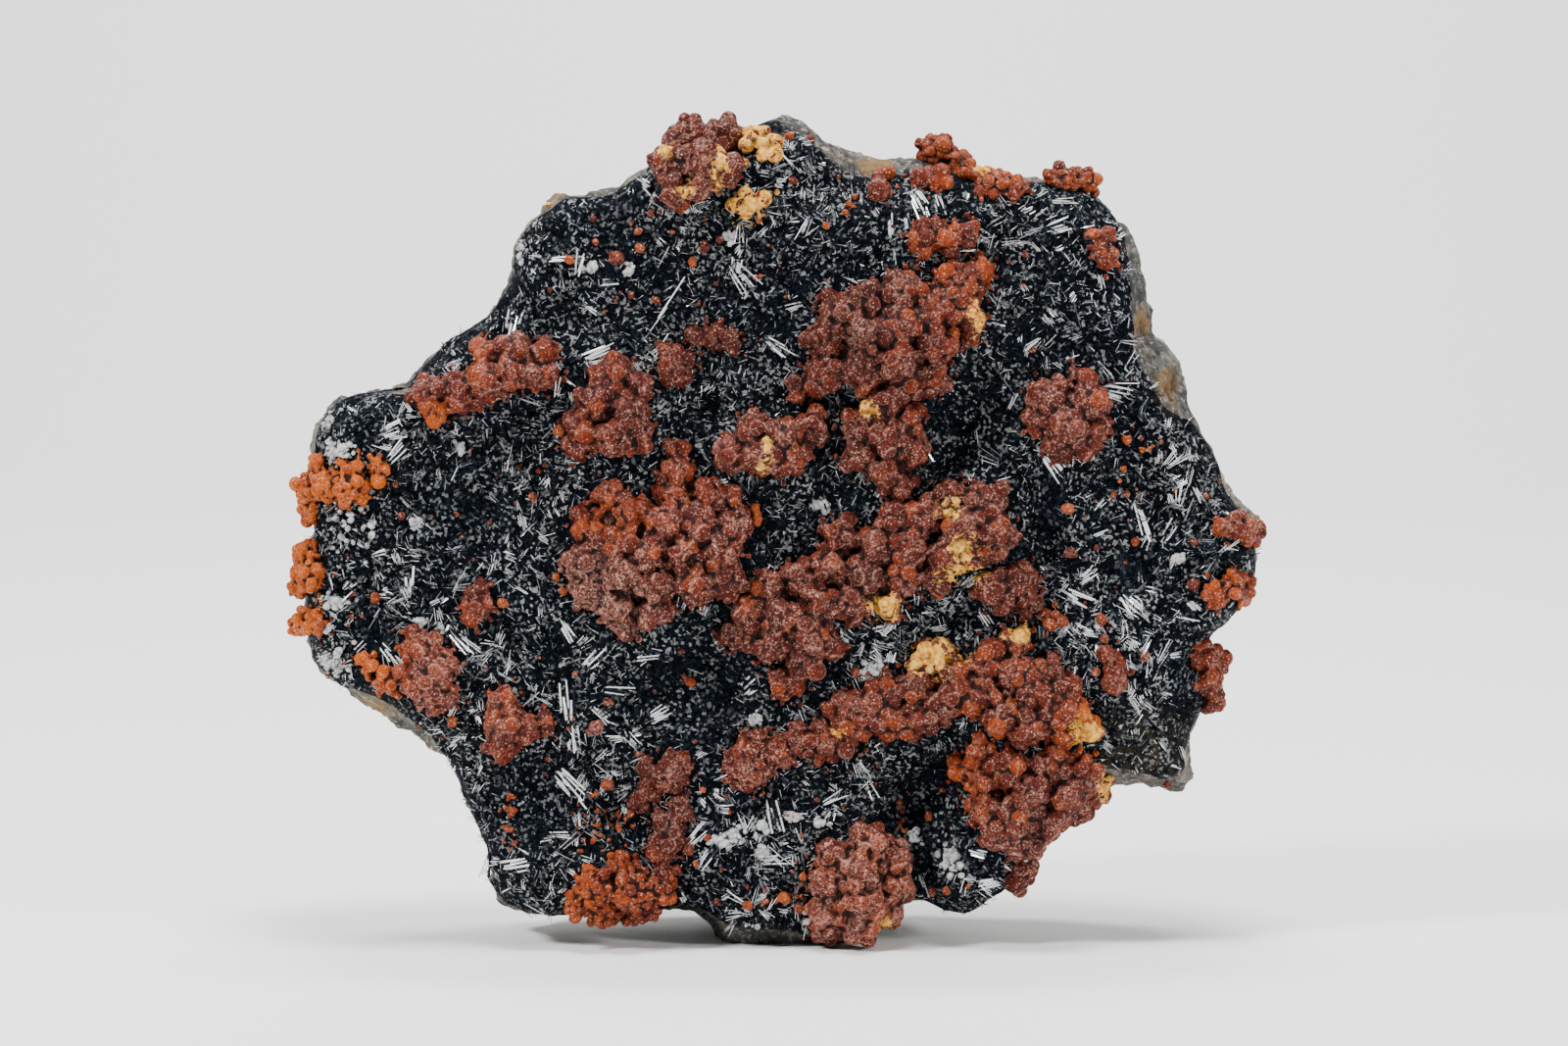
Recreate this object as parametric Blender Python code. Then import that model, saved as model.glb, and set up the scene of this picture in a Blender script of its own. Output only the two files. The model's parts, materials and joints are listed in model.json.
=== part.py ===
"""Hutchinsonite needles and orpiment clusters on a plate of rock.

The plate stands on its broken lower edge and shows its crusted face towards -Y.
All sizes below are in millimetres; x runs to the right, z up from the foot.
"""

import math
import random

import bmesh
import bpy
import numpy as np
from mathutils import Matrix, Vector, noise

MM = 0.001

# Driving sizes of the plate
CENTRE_X = 0.5
CENTRE_Z = 61.0
RIM_Y = -5.0
FACE_RISE = 12.0
ROUND_WIDTH = 9.0
CRUST_THICKNESS = 2.6
GAP = 0.3
STEEP_GAP = 0.45

# Levels of detail
ROCK_CELLS = 40
CRUST_CELLS = 46
ROCK_KEEP = 0.14
CRUST_KEEP = 0.12
SIDE_CUTS = 2
LUMP_FACES = 14
CLUSTER_FACES = 10

# How far the side steps in behind the front edge, from the front edge to the back edge
SIDE_INSETS = (0.0, 0.2, 1.8, 4.8)
FOOT_ANGLE = math.radians(-90.0)
FOOT_SPREAD = math.radians(16.0)
FOOT_INSET_SHARE = 0.35

# The back of the plate is broken along these planes: depth = c + a * x + b * (z - CENTRE_Z)
BACK_PLANES = (
    (22.0, 0.03, -0.04),
    (34.0, -0.35, 0.02),
    (33.0, 0.33, 0.08),
    (36.0, 0.05, -0.36),
    (37.5, -0.08, 0.30),
    (39.0, -0.30, -0.30),
    (38.0, 0.32, -0.26),
    (40.0, -0.26, 0.30),
    (39.0, 0.28, 0.32),
)

# Front outline, clockwise from the top: x, z and the width of bare rock inside the edge.
# The points under the foot lie below the ground, which cuts the foot flat.
OUTLINE = (
    (-0.9, 128.2, 0.8), (2.7, 127.2, 2.0), (4.6, 126.9, 3.0), (6.8, 124.0, 3.0),
    (9.9, 122.7, 3.5), (11.9, 121.2, 3.5), (16.0, 121.2, 3.0), (20.8, 121.0, 1.6),
    (24.5, 120.6, 0.9), (28.2, 118.6, 0.8), (32.3, 118.0, 0.8), (35.9, 118.0, 0.8),
    (39.3, 118.3, 0.8), (42.9, 117.6, 0.8), (46.2, 116.6, 0.8), (49.2, 115.2, 0.8),
    (50.9, 113.1, 0.8), (53.4, 111.0, 0.8), (53.7, 108.7, 0.9), (55.5, 106.8, 1.6),
    (55.8, 103.0, 3.0), (56.2, 99.5, 3.5), (56.7, 96.5, 3.5), (57.6, 92.9, 4.0),
    (59.0, 92.4, 5.0), (61.2, 91.2, 6.0), (62.2, 89.0, 6.5), (63.0, 86.7, 6.0),
    (63.0, 84.3, 4.5), (65.1, 81.9, 2.5), (66.1, 78.8, 1.4), (68.5, 75.0, 1.1),
    (69.1, 71.9, 1.0), (69.6, 69.5, 1.0), (71.0, 68.4, 1.5), (73.0, 67.6, 2.5),
    (75.3, 66.6, 3.4), (75.6, 64.0, 3.4), (74.8, 62.0, 2.0), (74.7, 56.4, 1.1),
    (73.2, 54.4, 1.0), (71.8, 52.0, 1.0), (72.6, 50.4, 1.0), (70.5, 49.4, 1.0),
    (68.1, 48.0, 1.0), (66.3, 45.9, 1.0), (66.5, 43.6, 1.0), (66.5, 39.8, 1.0),
    (66.8, 37.4, 1.0), (65.8, 34.6, 1.0), (64.5, 32.9, 1.2), (64.0, 31.2, 1.4),
    (64.8, 27.2, 2.0), (65.7, 25.4, 3.0), (64.3, 23.1, 4.5), (62.8, 22.2, 5.0),
    (60.6, 21.8, 6.0), (58.5, 23.1, 7.0), (53.1, 22.8, 8.0), (50.7, 22.5, 6.0),
    (48.9, 21.0, 3.5), (47.8, 18.3, 2.0), (45.7, 17.2, 1.5), (43.6, 15.7, 1.2),
    (43.2, 13.7, 1.2), (40.3, 12.9, 1.2), (38.6, 11.4, 1.0), (37.8, 8.7, 1.0),
    (35.4, 8.0, 1.0), (34.8, 6.0, 1.2), (33.4, 5.1, 1.2), (31.2, 3.3, 1.2),
    (29.0, 2.5, 1.4), (26.2, 3.0, 1.4), (23.9, 3.8, 1.2), (22.0, 6.0, 1.0),
    (20.9, 5.6, 1.0), (19.7, 4.6, 1.0), (17.4, 2.6, 1.2), (13.7, 1.9, 1.5),
    (12.0, -3.0, 5.5), (8.0, -5.0, 6.2), (0.0, -5.0, 7.4), (-7.0, -5.0, 7.6),
    (-9.6, -3.0, 6.0), (-11.3, 1.9, 2.2), (-12.6, 3.3, 1.6), (-14.9, 4.2, 1.2),
    (-17.7, 4.5, 1.0), (-19.2, 3.2, 1.0), (-22.0, 2.4, 1.4), (-25.8, 2.3, 1.5),
    (-29.4, 2.8, 1.5), (-33.0, 2.4, 1.6), (-36.4, 1.8, 2.2), (-40.0, 2.7, 2.4),
    (-43.3, 3.5, 2.4), (-46.0, 6.5, 2.0), (-46.7, 8.8, 1.2), (-46.4, 10.7, 1.0),
    (-46.0, 13.5, 1.0), (-48.3, 16.5, 1.0), (-49.4, 19.4, 1.0), (-50.3, 22.6, 1.0),
    (-51.6, 26.0, 1.0), (-53.1, 27.9, 1.2), (-54.8, 29.4, 1.8), (-56.7, 31.4, 2.6),
    (-59.4, 32.4, 3.6), (-62.0, 33.8, 4.0), (-63.6, 35.0, 4.2), (-66.2, 37.2, 4.0),
    (-68.1, 38.1, 3.4), (-70.0, 38.6, 2.4), (-71.3, 40.2, 1.4), (-73.4, 43.0, 1.0),
    (-74.5, 46.6, 0.9), (-74.8, 48.8, 0.9), (-73.7, 51.5, 0.9), (-74.3, 54.9, 0.9),
    (-74.4, 57.6, 1.2), (-74.0, 62.2, 1.8), (-72.6, 63.9, 1.0), (-73.0, 65.8, 0.9),
    (-73.6, 68.1, 0.9), (-73.9, 69.5, 0.9), (-73.2, 71.2, 0.9), (-72.6, 72.6, 0.9),
    (-72.9, 74.9, 0.9), (-72.9, 78.2, 0.9), (-71.4, 81.8, 1.0), (-69.4, 83.7, 1.0),
    (-66.8, 85.0, 0.9), (-64.5, 85.6, 0.9), (-59.0, 86.0, 0.9), (-57.4, 87.3, 0.9),
    (-56.4, 88.7, 0.9), (-53.5, 92.1, 0.9), (-51.6, 93.8, 0.9), (-49.0, 95.5, 0.9),
    (-46.4, 96.5, 0.9), (-45.1, 98.7, 0.9), (-43.9, 99.9, 0.9), (-42.3, 101.0, 0.9),
    (-42.1, 103.8, 0.9), (-42.8, 106.2, 0.9), (-40.8, 108.6, 1.0), (-39.9, 110.7, 1.2),
    (-38.4, 113.1, 1.4), (-35.9, 115.0, 2.0), (-35.5, 116.2, 2.2), (-33.4, 117.1, 2.4),
    (-29.8, 116.7, 2.2), (-25.8, 116.9, 1.2), (-23.4, 118.2, 0.9), (-21.9, 119.1, 0.9),
    (-19.5, 121.8, 0.9), (-16.2, 123.4, 0.9), (-14.2, 124.5, 0.9), (-9.0, 125.2, 0.9),
    (-5.4, 125.7, 0.9), (-3.0, 127.5, 0.8),
)

# Swells and hollows of the crusted face: x, z, half widths along x and z, and rise
SWELLS = (
    (-62.0, 80.0, 9.0, 7.0, 2.5), (-44.0, 66.0, 9.0, 6.0, -3.5), (-44.0, 76.5, 7.0, 4.0, -3.0),
    (-68.0, 56.0, 7.0, 10.0, 2.0), (-64.0, 42.0, 8.0, 6.0, 1.5), (-54.0, 42.0, 7.0, 8.0, 1.5),
    (-58.0, 50.0, 6.0, 5.0, -2.0), (-38.0, 12.0, 9.0, 8.0, 3.5), (-34.0, 22.0, 9.0, 6.0, -2.0),
    (-42.0, 34.0, 6.0, 6.0, 2.0), (-46.0, 22.0, 5.0, 5.0, -1.5), (-25.0, 9.0, 8.0, 6.0, 3.0),
    (-22.0, 20.0, 5.0, 4.0, -3.5), (-12.0, 39.0, 12.0, 7.0, -4.5), (-19.0, 58.0, 14.0, 10.0, 3.0),
    (-5.0, 14.0, 9.0, 9.0, 2.5), (8.0, 26.0, 6.0, 4.0, -2.5), (13.0, 9.0, 6.0, 9.0, 3.0),
    (21.5, 23.0, 7.0, 7.0, -7.0), (21.4, 10.0, 3.6, 9.0, -5.5), (29.0, 10.0, 6.0, 8.0, 2.5),
    (40.0, 24.0, 11.0, 9.0, 3.0), (55.0, 30.0, 9.0, 9.0, -1.2), (33.0, 36.0, 12.0, 6.0, 2.5),
    (18.0, 47.0, 9.0, 4.0, -1.5), (27.0, 50.5, 8.0, 3.0, -3.0), (4.0, 48.0, 8.0, 8.0, 2.5),
    (28.0, 65.0, 9.0, 7.0, 3.0), (39.0, 66.0, 4.0, 10.0, -3.5), (55.0, 57.0, 6.0, 5.0, -2.5),
    (61.5, 40.0, 2.6, 9.0, -3.0), (66.0, 55.0, 6.0, 6.0, 1.5), (70.0, 64.0, 5.0, 4.0, 1.5),
    (44.0, 81.0, 8.0, 7.0, 3.0), (28.0, 80.0, 7.0, 8.0, -4.5), (15.0, 76.0, 7.0, 8.0, 2.0),
    (5.0, 84.0, 6.0, 2.2, -3.0), (18.0, 94.0, 13.0, 9.0, 3.5), (36.0, 103.0, 8.0, 8.0, -1.5),
    (9.0, 116.5, 6.0, 2.6, -4.0), (5.0, 108.0, 10.0, 5.0, 1.2), (-12.0, 119.0, 8.0, 7.0, 3.0),
    (-24.0, 110.0, 6.0, 6.0, -3.5), (-36.0, 104.0, 7.0, 7.0, 1.4), (-30.0, 98.0, 8.0, 3.5, -1.8),
    (-45.0, 87.0, 12.0, 5.0, 2.5), (-25.0, 82.0, 8.0, 9.0, 3.0), (-35.0, 70.5, 5.0, 4.5, -3.5),
    (-12.0, 84.0, 5.0, 7.0, -3.0), (-15.0, 99.0, 6.0, 5.0, -2.5), (2.0, 99.0, 7.0, 5.0, -2.0),
    (-3.0, 77.0, 7.0, 6.0, 2.0), (52.0, 96.0, 6.0, 9.0, 1.0), (-2.0, 67.0, 3.5, 4.0, -2.5),
    (24.0, 115.0, 9.0, 4.0, 1.2), (53.0, 45.0, 6.0, 5.0, 1.4), (-28.0, 36.0, 7.0, 6.0, 1.2),
)

# Conspicuous needle bundles: x, z, direction in degrees, length, width, number and fan in degrees
SPRAYS = (
    (-58.5, 79.3, 20.0, 3.8, 0.7, 3, 16.0), (-64.0, 81.4, -28.0, 4.6, 0.5, 1, 0.0),
    (-55.6, 82.7, -42.0, 4.6, 0.6, 2, 10.0), (-58.2, 76.2, 50.0, 4.4, 0.6, 2, 12.0),
    (-61.2, 60.6, 15.0, 3.8, 0.6, 1, 0.0), (-56.6, 56.6, 90.0, 4.6, 0.9, 1, 0.0),
    (-47.4, 46.2, -37.0, 7.2, 0.6, 2, 14.0), (-59.4, 45.0, -50.0, 4.4, 0.6, 2, 8.0),
    (-45.5, 28.4, 58.0, 5.0, 0.7, 1, 0.0), (-32.6, 38.6, 92.0, 6.4, 0.9, 2, 8.0),
    (-31.8, 33.0, 98.0, 5.6, 0.8, 2, 12.0), (-32.0, 24.4, -49.0, 6.4, 0.9, 2, 6.0),
    (-39.6, 13.3, 18.0, 6.8, 0.9, 2, 8.0), (-45.2, 12.0, 66.0, 4.6, 0.6, 2, 12.0),
    (-18.4, 35.6, 26.0, 4.4, 0.6, 3, 16.0), (-33.6, 17.5, -8.0, 4.2, 0.6, 1, 0.0),
    (-23.6, 24.0, 20.0, 3.6, 0.5, 1, 0.0), (-4.2, 40.6, 42.0, 4.6, 0.9, 3, 10.0),
    (-28.0, 44.8, 45.0, 5.2, 0.8, 2, 6.0), (-20.3, 44.7, 12.0, 4.2, 0.6, 1, 0.0),
    (-25.6, 39.4, -8.0, 5.6, 0.6, 2, 14.0), (-27.2, 35.8, -46.0, 4.2, 0.6, 2, 14.0),
    (-32.6, 48.4, -60.0, 4.6, 0.7, 2, 12.0), (-2.2, 59.0, -38.0, 3.6, 0.6, 1, 0.0),
    (-2.6, 57.6, 58.0, 3.0, 0.6, 1, 0.0), (-40.8, 96.0, 72.0, 4.8, 0.7, 3, 8.0),
    (-30.3, 104.8, 74.0, 4.8, 0.6, 1, 0.0), (-33.6, 105.2, 2.0, 3.6, 0.6, 1, 0.0),
    (-26.2, 101.0, 2.0, 3.8, 0.7, 1, 0.0), (-28.0, 97.2, -31.0, 4.2, 0.6, 1, 0.0),
    (-18.3, 92.0, 55.0, 4.6, 0.6, 2, 8.0), (-27.4, 90.6, 15.0, 5.0, 0.8, 2, 8.0),
    (-31.7, 86.2, -32.0, 3.0, 0.6, 1, 0.0), (-17.0, 98.6, 54.0, 8.6, 0.5, 1, 0.0),
    (-5.4, 101.6, -52.0, 6.2, 0.6, 3, 16.0), (-19.4, 115.4, -44.0, 4.6, 0.7, 2, 10.0),
    (10.2, 101.0, -30.0, 3.6, 0.7, 3, 16.0), (-6.6, 105.0, 80.0, 3.6, 0.6, 2, 20.0),
    (2.8, 111.1, 2.0, 3.6, 0.6, 1, 0.0), (6.4, 112.6, 40.0, 3.4, 0.6, 1, 0.0),
    (16.5, 110.2, 94.0, 3.8, 0.6, 1, 0.0), (21.0, 113.4, -66.0, 4.2, 0.6, 3, 18.0),
    (23.9, 113.2, -80.0, 3.6, 0.6, 2, 14.0), (42.0, 110.0, 16.0, 4.4, 0.7, 2, 12.0),
    (44.9, 111.4, 66.0, 2.8, 0.7, 1, 0.0), (39.2, 115.8, 42.0, 3.2, 0.6, 2, 10.0),
    (51.8, 109.2, 32.0, 3.8, 0.6, 2, 12.0), (42.5, 106.9, 20.0, 2.6, 0.5, 1, 0.0),
    (32.9, 95.6, -17.0, 2.8, 0.6, 1, 0.0), (51.6, 85.0, -14.0, 5.2, 0.7, 3, 16.0),
    (55.0, 86.0, -43.0, 8.4, 0.6, 1, 0.0), (41.7, 74.0, -46.0, 5.4, 0.8, 2, 6.0),
    (49.0, 68.4, 45.0, 3.8, 0.6, 2, 8.0), (54.6, 65.2, -73.0, 6.0, 0.9, 1, 0.0),
    (57.5, 75.2, 96.0, 2.8, 0.6, 1, 0.0), (60.6, 71.2, 32.0, 3.0, 0.6, 1, 0.0),
    (63.4, 69.6, -67.0, 3.4, 0.6, 1, 0.0), (59.2, 64.0, 60.0, 3.8, 0.8, 1, 0.0),
    (71.6, 58.6, -83.0, 3.2, 0.7, 1, 0.0), (62.8, 52.2, -46.0, 3.2, 0.6, 2, 8.0),
    (62.4, 50.6, -12.0, 4.4, 0.6, 1, 0.0), (45.2, 53.4, -28.0, 5.2, 0.8, 2, 8.0),
    (46.8, 57.3, 40.0, 3.8, 0.6, 2, 12.0), (53.8, 52.4, -50.0, 4.6, 0.7, 3, 12.0),
    (49.0, 63.7, 25.0, 3.0, 0.6, 1, 0.0), (59.0, 38.6, -25.0, 3.0, 0.6, 1, 0.0),
    (45.6, 48.9, -32.0, 4.0, 0.6, 2, 14.0), (35.4, 84.4, 66.0, 4.6, 0.5, 1, 0.0),
    (-0.2, 91.6, -35.0, 4.6, 0.6, 2, 10.0), (23.4, 75.6, -58.0, 5.6, 0.7, 2, 10.0),
    (-0.7, 19.4, -75.0, 6.8, 0.8, 2, 6.0), (7.6, 22.8, 28.0, 4.8, 0.5, 1, 0.0),
    (13.8, 23.8, -68.0, 4.2, 0.6, 2, 12.0), (-11.3, 14.4, 58.0, 4.4, 0.6, 2, 10.0),
    (-14.8, 6.8, -66.0, 3.4, 0.7, 1, 0.0), (-8.4, 5.8, 72.0, 3.2, 0.6, 1, 0.0),
    (4.5, 5.4, 80.0, 3.0, 1.0, 1, 0.0), (-12.6, 17.4, 42.0, 5.6, 0.6, 2, 10.0),
    (-1.2, 13.6, 2.0, 6.4, 0.6, 2, 8.0), (12.3, 27.0, -60.0, 4.0, 0.6, 2, 14.0),
    (32.1, 10.1, 12.0, 4.2, 0.9, 1, 0.0), (42.3, 16.7, -54.0, 3.2, 0.7, 2, 10.0),
    (30.6, 14.9, -8.0, 3.8, 0.7, 2, 8.0), (22.2, 8.6, -64.0, 4.2, 0.6, 1, 0.0),
)

# Rounded orpiment growths: name, colour and lobes as x, z and radius
CLUSTERS = (
    ("orpiment_top_left", "orpiment_red", (
        (-14.2, 123.4, 3.0), (-8.6, 123.4, 3.1), (-16.6, 119.4, 3.0), (-11.6, 119.6, 3.2),
        (-8.4, 118.6, 2.4), (-15.8, 115.4, 2.4), (-12.2, 116.4, 2.3))),
    ("yellow_crust_top", "orpiment_yellow", ((-3.8, 123.2, 2.0), (-1.6, 121.8, 1.8))),
    ("yellow_clump_upper", "orpiment_yellow", ((-5.6, 113.6, 2.0), (-2.9, 114.4, 1.5))),
    ("orpiment_top_chain", "orpiment_red", (
        (24.2, 121.6, 2.6), (27.2, 119.4, 2.1), (29.6, 117.6, 1.9), (32.5, 115.9, 2.7),
        (35.2, 115.6, 2.3))),
    ("orpiment_top_corner", "orpiment_red", ((42.6, 116.8, 2.5), (45.9, 116.4, 2.5))),
    ("orpiment_top_patch", "orpiment_red", ((21.6, 117.6, 1.5), (23.8, 116.8, 1.8))),
    ("orpiment_top_nodules", "orpiment_red", ((15.0, 115.6, 1.4), (15.7, 117.6, 1.2))),
    ("orpiment_upper_bar", "orpiment_red", (
        (21.6, 108.4, 2.6), (24.9, 108.2, 2.3), (28.3, 109.3, 1.9))),
    ("orpiment_upper_centre", "orpiment_red", (
        (29.6, 102.9, 2.2), (26.4, 101.2, 3.2), (28.2, 97.2, 2.7), (23.4, 97.2, 3.0),
        (28.8, 94.4, 2.0), (23.6, 92.8, 2.9), (18.2, 100.2, 3.0), (13.4, 98.4, 2.9),
        (9.2, 97.2, 3.0), (17.8, 95.2, 2.9), (12.6, 93.8, 3.0), (7.2, 93.2, 3.0),
        (17.6, 90.4, 3.1), (12.4, 89.4, 3.0), (7.0, 88.2, 2.8), (22.6, 87.8, 2.8),
        (18.6, 86.0, 2.6), (13.2, 86.8, 2.0), (3.4, 86.2, 2.0))),
    ("orpiment_middle_column", "orpiment_red", (
        (15.2, 82.8, 2.6), (18.8, 80.6, 2.2), (11.8, 79.6, 2.4), (15.8, 78.4, 2.8),
        (12.2, 75.6, 2.7), (19.2, 76.4, 2.5), (15.8, 73.2, 2.6), (18.0, 71.0, 2.1))),
    ("orpiment_right_middle", "orpiment_red", (
        (45.6, 87.0, 1.7), (41.0, 84.4, 2.9), (46.4, 83.4, 3.0), (39.4, 81.2, 2.3),
        (43.2, 80.0, 3.1), (47.2, 79.8, 2.2), (42.0, 77.7, 2.2), (45.8, 77.3, 1.9))),
    ("orpiment_left_band", "orpiment_red", (
        (-53.2, 84.4, 2.7), (-52.6, 81.7, 1.8), (-48.6, 85.2, 2.6), (-44.4, 86.8, 2.8),
        (-40.2, 88.0, 2.8), (-44.4, 90.8, 2.2), (-39.8, 91.2, 2.2), (-36.4, 88.0, 2.5),
        (-35.8, 91.2, 1.6))),
    ("orpiment_fan", "orpiment_red", (
        (-25.4, 87.4, 2.9), (-22.0, 85.8, 2.5), (-27.6, 83.6, 2.6), (-23.2, 82.0, 3.0),
        (-29.8, 79.8, 2.5), (-25.2, 78.0, 2.6), (-21.8, 78.6, 2.3), (-30.8, 76.7, 1.8))),
    ("orpiment_fan_side", "orpiment_red", ((-16.4, 88.8, 2.6), (-16.8, 91.1, 1.6))),
    ("orpiment_small_brown", "orpiment_red", (
        (-12.6, 93.3, 1.5), (-10.2, 93.6, 1.6), (-7.7, 92.6, 1.7))),
    ("orpiment_centre_left", "orpiment_red", (
        (-25.8, 69.4, 2.2), (-22.6, 66.6, 2.7), (-15.6, 76.2, 1.8), (-16.2, 73.0, 2.1),
        (-16.2, 69.4, 2.6), (-11.2, 69.4, 2.5), (-7.6, 68.9, 1.7), (-17.6, 65.0, 2.9),
        (-12.6, 64.8, 2.9), (-7.2, 64.8, 2.8), (-28.6, 64.2, 2.7), (-24.4, 62.2, 2.6),
        (-19.8, 60.8, 2.9), (-14.6, 60.4, 2.9), (-9.4, 60.4, 2.9), (-29.0, 59.4, 3.2),
        (-24.2, 57.4, 3.0), (-18.8, 56.2, 2.9), (-13.2, 56.2, 2.9), (-8.4, 56.4, 2.7),
        (-29.6, 54.8, 2.7), (-24.8, 53.0, 2.8), (-19.4, 52.2, 2.6), (-23.2, 50.4, 2.0))),
    ("orpiment_centre", "orpiment_red", (
        (-4.0, 79.4, 2.4), (0.4, 79.0, 2.7), (-7.6, 75.6, 2.4), (-3.2, 75.2, 2.9),
        (1.2, 75.4, 2.6), (4.6, 79.4, 2.5))),
    ("orpiment_diagonal", "orpiment_red", (
        (25.8, 69.2, 2.4), (31.2, 68.6, 2.9), (32.4, 64.2, 2.9), (27.4, 65.0, 2.9),
        (21.8, 66.6, 2.8), (17.2, 66.2, 2.6), (30.4, 60.4, 2.7), (25.2, 60.8, 2.9),
        (19.6, 62.0, 3.0), (14.4, 61.8, 2.7), (8.8, 63.2, 2.8), (23.6, 56.8, 2.8),
        (18.2, 57.0, 2.9), (12.8, 57.4, 2.9), (7.6, 58.4, 2.8), (16.0, 53.2, 2.7),
        (10.8, 53.2, 2.8), (3.0, 57.0, 2.5), (5.4, 53.2, 2.7), (-1.4, 55.4, 2.4),
        (0.4, 51.2, 2.8), (-4.6, 51.4, 2.5), (-6.6, 48.4, 2.4), (-1.6, 47.0, 2.8),
        (4.0, 48.2, 2.9), (7.8, 46.8, 2.1), (3.6, 44.0, 2.6), (0.6, 41.2, 2.8))),
    ("orpiment_right_offshoot", "orpiment_red", (
        (31.8, 55.8, 2.4), (35.6, 56.6, 2.5), (33.8, 53.8, 2.2), (37.2, 53.4, 1.9))),
    ("orpiment_lower_arc", "orpiment_red", (
        (9.0, 37.8, 2.4), (12.4, 36.2, 3.3), (16.8, 35.2, 2.8), (15.8, 39.4, 2.4),
        (20.6, 40.2, 2.9), (21.4, 35.8, 2.7), (22.4, 44.0, 2.9), (25.8, 38.0, 2.8),
        (26.8, 42.2, 2.6), (30.4, 39.2, 2.7), (31.4, 44.6, 2.6), (36.0, 46.8, 2.4),
        (35.2, 42.0, 2.8), (33.6, 36.0, 3.0), (38.6, 38.6, 2.9), (40.4, 42.0, 2.2),
        (38.0, 34.2, 2.8), (42.8, 36.8, 2.9), (43.6, 40.4, 1.8), (42.8, 33.0, 2.4),
        (46.0, 34.4, 2.6))),
    ("orpiment_corner_mass", "orpiment_red", (
        (30.4, 30.6, 2.0), (28.2, 27.6, 1.8), (30.8, 25.6, 2.6), (35.0, 27.8, 2.8),
        (31.6, 21.6, 2.6), (38.2, 24.4, 3.0), (36.0, 20.8, 2.8), (40.6, 28.4, 2.8),
        (43.4, 24.2, 2.9), (40.8, 20.4, 2.7), (46.0, 27.0, 2.7), (48.0, 24.0, 2.4),
        (45.2, 21.4, 2.2), (32.8, 17.8, 2.5), (38.6, 17.0, 2.6), (35.4, 16.4, 2.0))),
    ("orpiment_right_foot", "orpiment_red", ((36.8, 12.2, 2.4), (36.2, 10.2, 2.0))),
    ("orpiment_bottom", "orpiment_red", (
        (13.0, 16.4, 2.8), (8.0, 14.4, 2.7), (16.6, 13.8, 2.8), (11.8, 12.2, 3.0),
        (7.4, 10.4, 2.5), (17.0, 9.6, 2.8), (12.0, 7.8, 3.2), (7.4, 6.0, 2.8),
        (16.0, 5.6, 2.5), (11.6, 3.7, 2.8), (6.8, 3.0, 2.0))),
    ("orpiment_bottom_left", "orpiment_orange", (
        (-30.8, 7.6, 2.6), (-28.2, 10.2, 2.7), (-27.0, 6.2, 2.7), (-24.2, 12.6, 2.2),
        (-22.6, 9.4, 2.9), (-21.4, 6.4, 2.6), (-18.6, 9.4, 2.4), (-17.6, 12.4, 2.3))),
    ("orpiment_bottom_column", "orpiment_red", (
        (-15.2, 21.2, 1.9), (-16.4, 18.2, 2.2), (-17.8, 15.6, 2.2))),
    ("orpiment_lower_centre", "orpiment_red", (
        (-5.2, 27.4, 2.9), (-4.8, 30.4, 2.3), (-0.8, 30.4, 2.4), (2.8, 31.6, 2.4),
        (6.6, 32.0, 2.4), (9.8, 31.6, 1.9))),
    ("orpiment_double_nodule", "orpiment_red", ((-16.4, 27.2, 2.6), (-19.3, 26.8, 2.0))),
    ("orpiment_small_nodules", "orpiment_red", ((-20.6, 24.0, 1.5), (-21.4, 22.6, 1.5))),
    ("orpiment_left_lower", "orpiment_red", (
        (-42.2, 38.0, 2.0), (-41.8, 34.6, 2.8), (-42.8, 31.6, 2.0), (-38.9, 34.2, 2.2),
        (-36.2, 34.8, 1.6))),
    ("orpiment_left_oval", "orpiment_red", (
        (-54.4, 46.0, 2.8), (-52.8, 43.0, 3.0), (-54.4, 40.6, 2.7), (-52.0, 38.6, 2.3))),
    ("orpiment_left_small", "orpiment_red", ((-46.2, 53.6, 2.2), (-46.0, 51.4, 1.9))),
    ("orpiment_left_edge_upper", "orpiment_orange", (
        (-72.2, 69.9, 2.4), (-69.0, 70.8, 2.2), (-65.5, 70.2, 2.5), (-70.4, 73.4, 1.6),
        (-65.2, 73.2, 1.7), (-72.0, 66.8, 1.8))),
    ("orpiment_left_pair", "orpiment_orange", ((-61.0, 74.3, 1.5), (-61.2, 72.3, 1.6))),
    ("orpiment_left_edge_lower", "orpiment_orange", (
        (-72.5, 60.2, 1.9), (-73.6, 57.4, 1.9), (-71.2, 56.9, 2.3), (-73.6, 54.4, 1.8))),
    ("yellow_crust_left_edge", "orpiment_yellow", (
        (-74.0, 48.8, 1.5), (-72.4, 50.0, 1.9), (-70.8, 49.8, 1.7))),
    ("orpiment_left_clump", "orpiment_orange", ((-60.0, 41.2, 1.8), (-58.4, 42.3, 1.4))),
    ("orpiment_left_nodule", "orpiment_orange", ((-63.3, 44.2, 1.5),)),
    ("orpiment_right_edge_upper", "orpiment_red", (
        (68.5, 64.6, 1.9), (70.4, 64.0, 1.8), (72.2, 63.5, 1.5))),
    ("orpiment_right_edge_middle", "orpiment_red", (
        (66.0, 54.6, 1.8), (68.4, 56.0, 2.0), (70.6, 55.4, 1.7), (70.6, 53.4, 1.5))),
    ("orpiment_right_edge_lower", "orpiment_red", (
        (64.8, 44.2, 2.3), (67.2, 42.8, 2.0), (65.6, 40.4, 2.2), (66.2, 37.4, 2.1))),
    ("orpiment_upper_right_group", "orpiment_red", (
        (48.4, 108.0, 1.3), (48.6, 106.2, 1.3), (49.6, 105.0, 1.4))),
    ("orpiment_right_string", "orpiment_red", (
        (50.2, 45.0, 1.3), (51.0, 43.1, 1.3), (50.9, 41.6, 1.1))),
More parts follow.
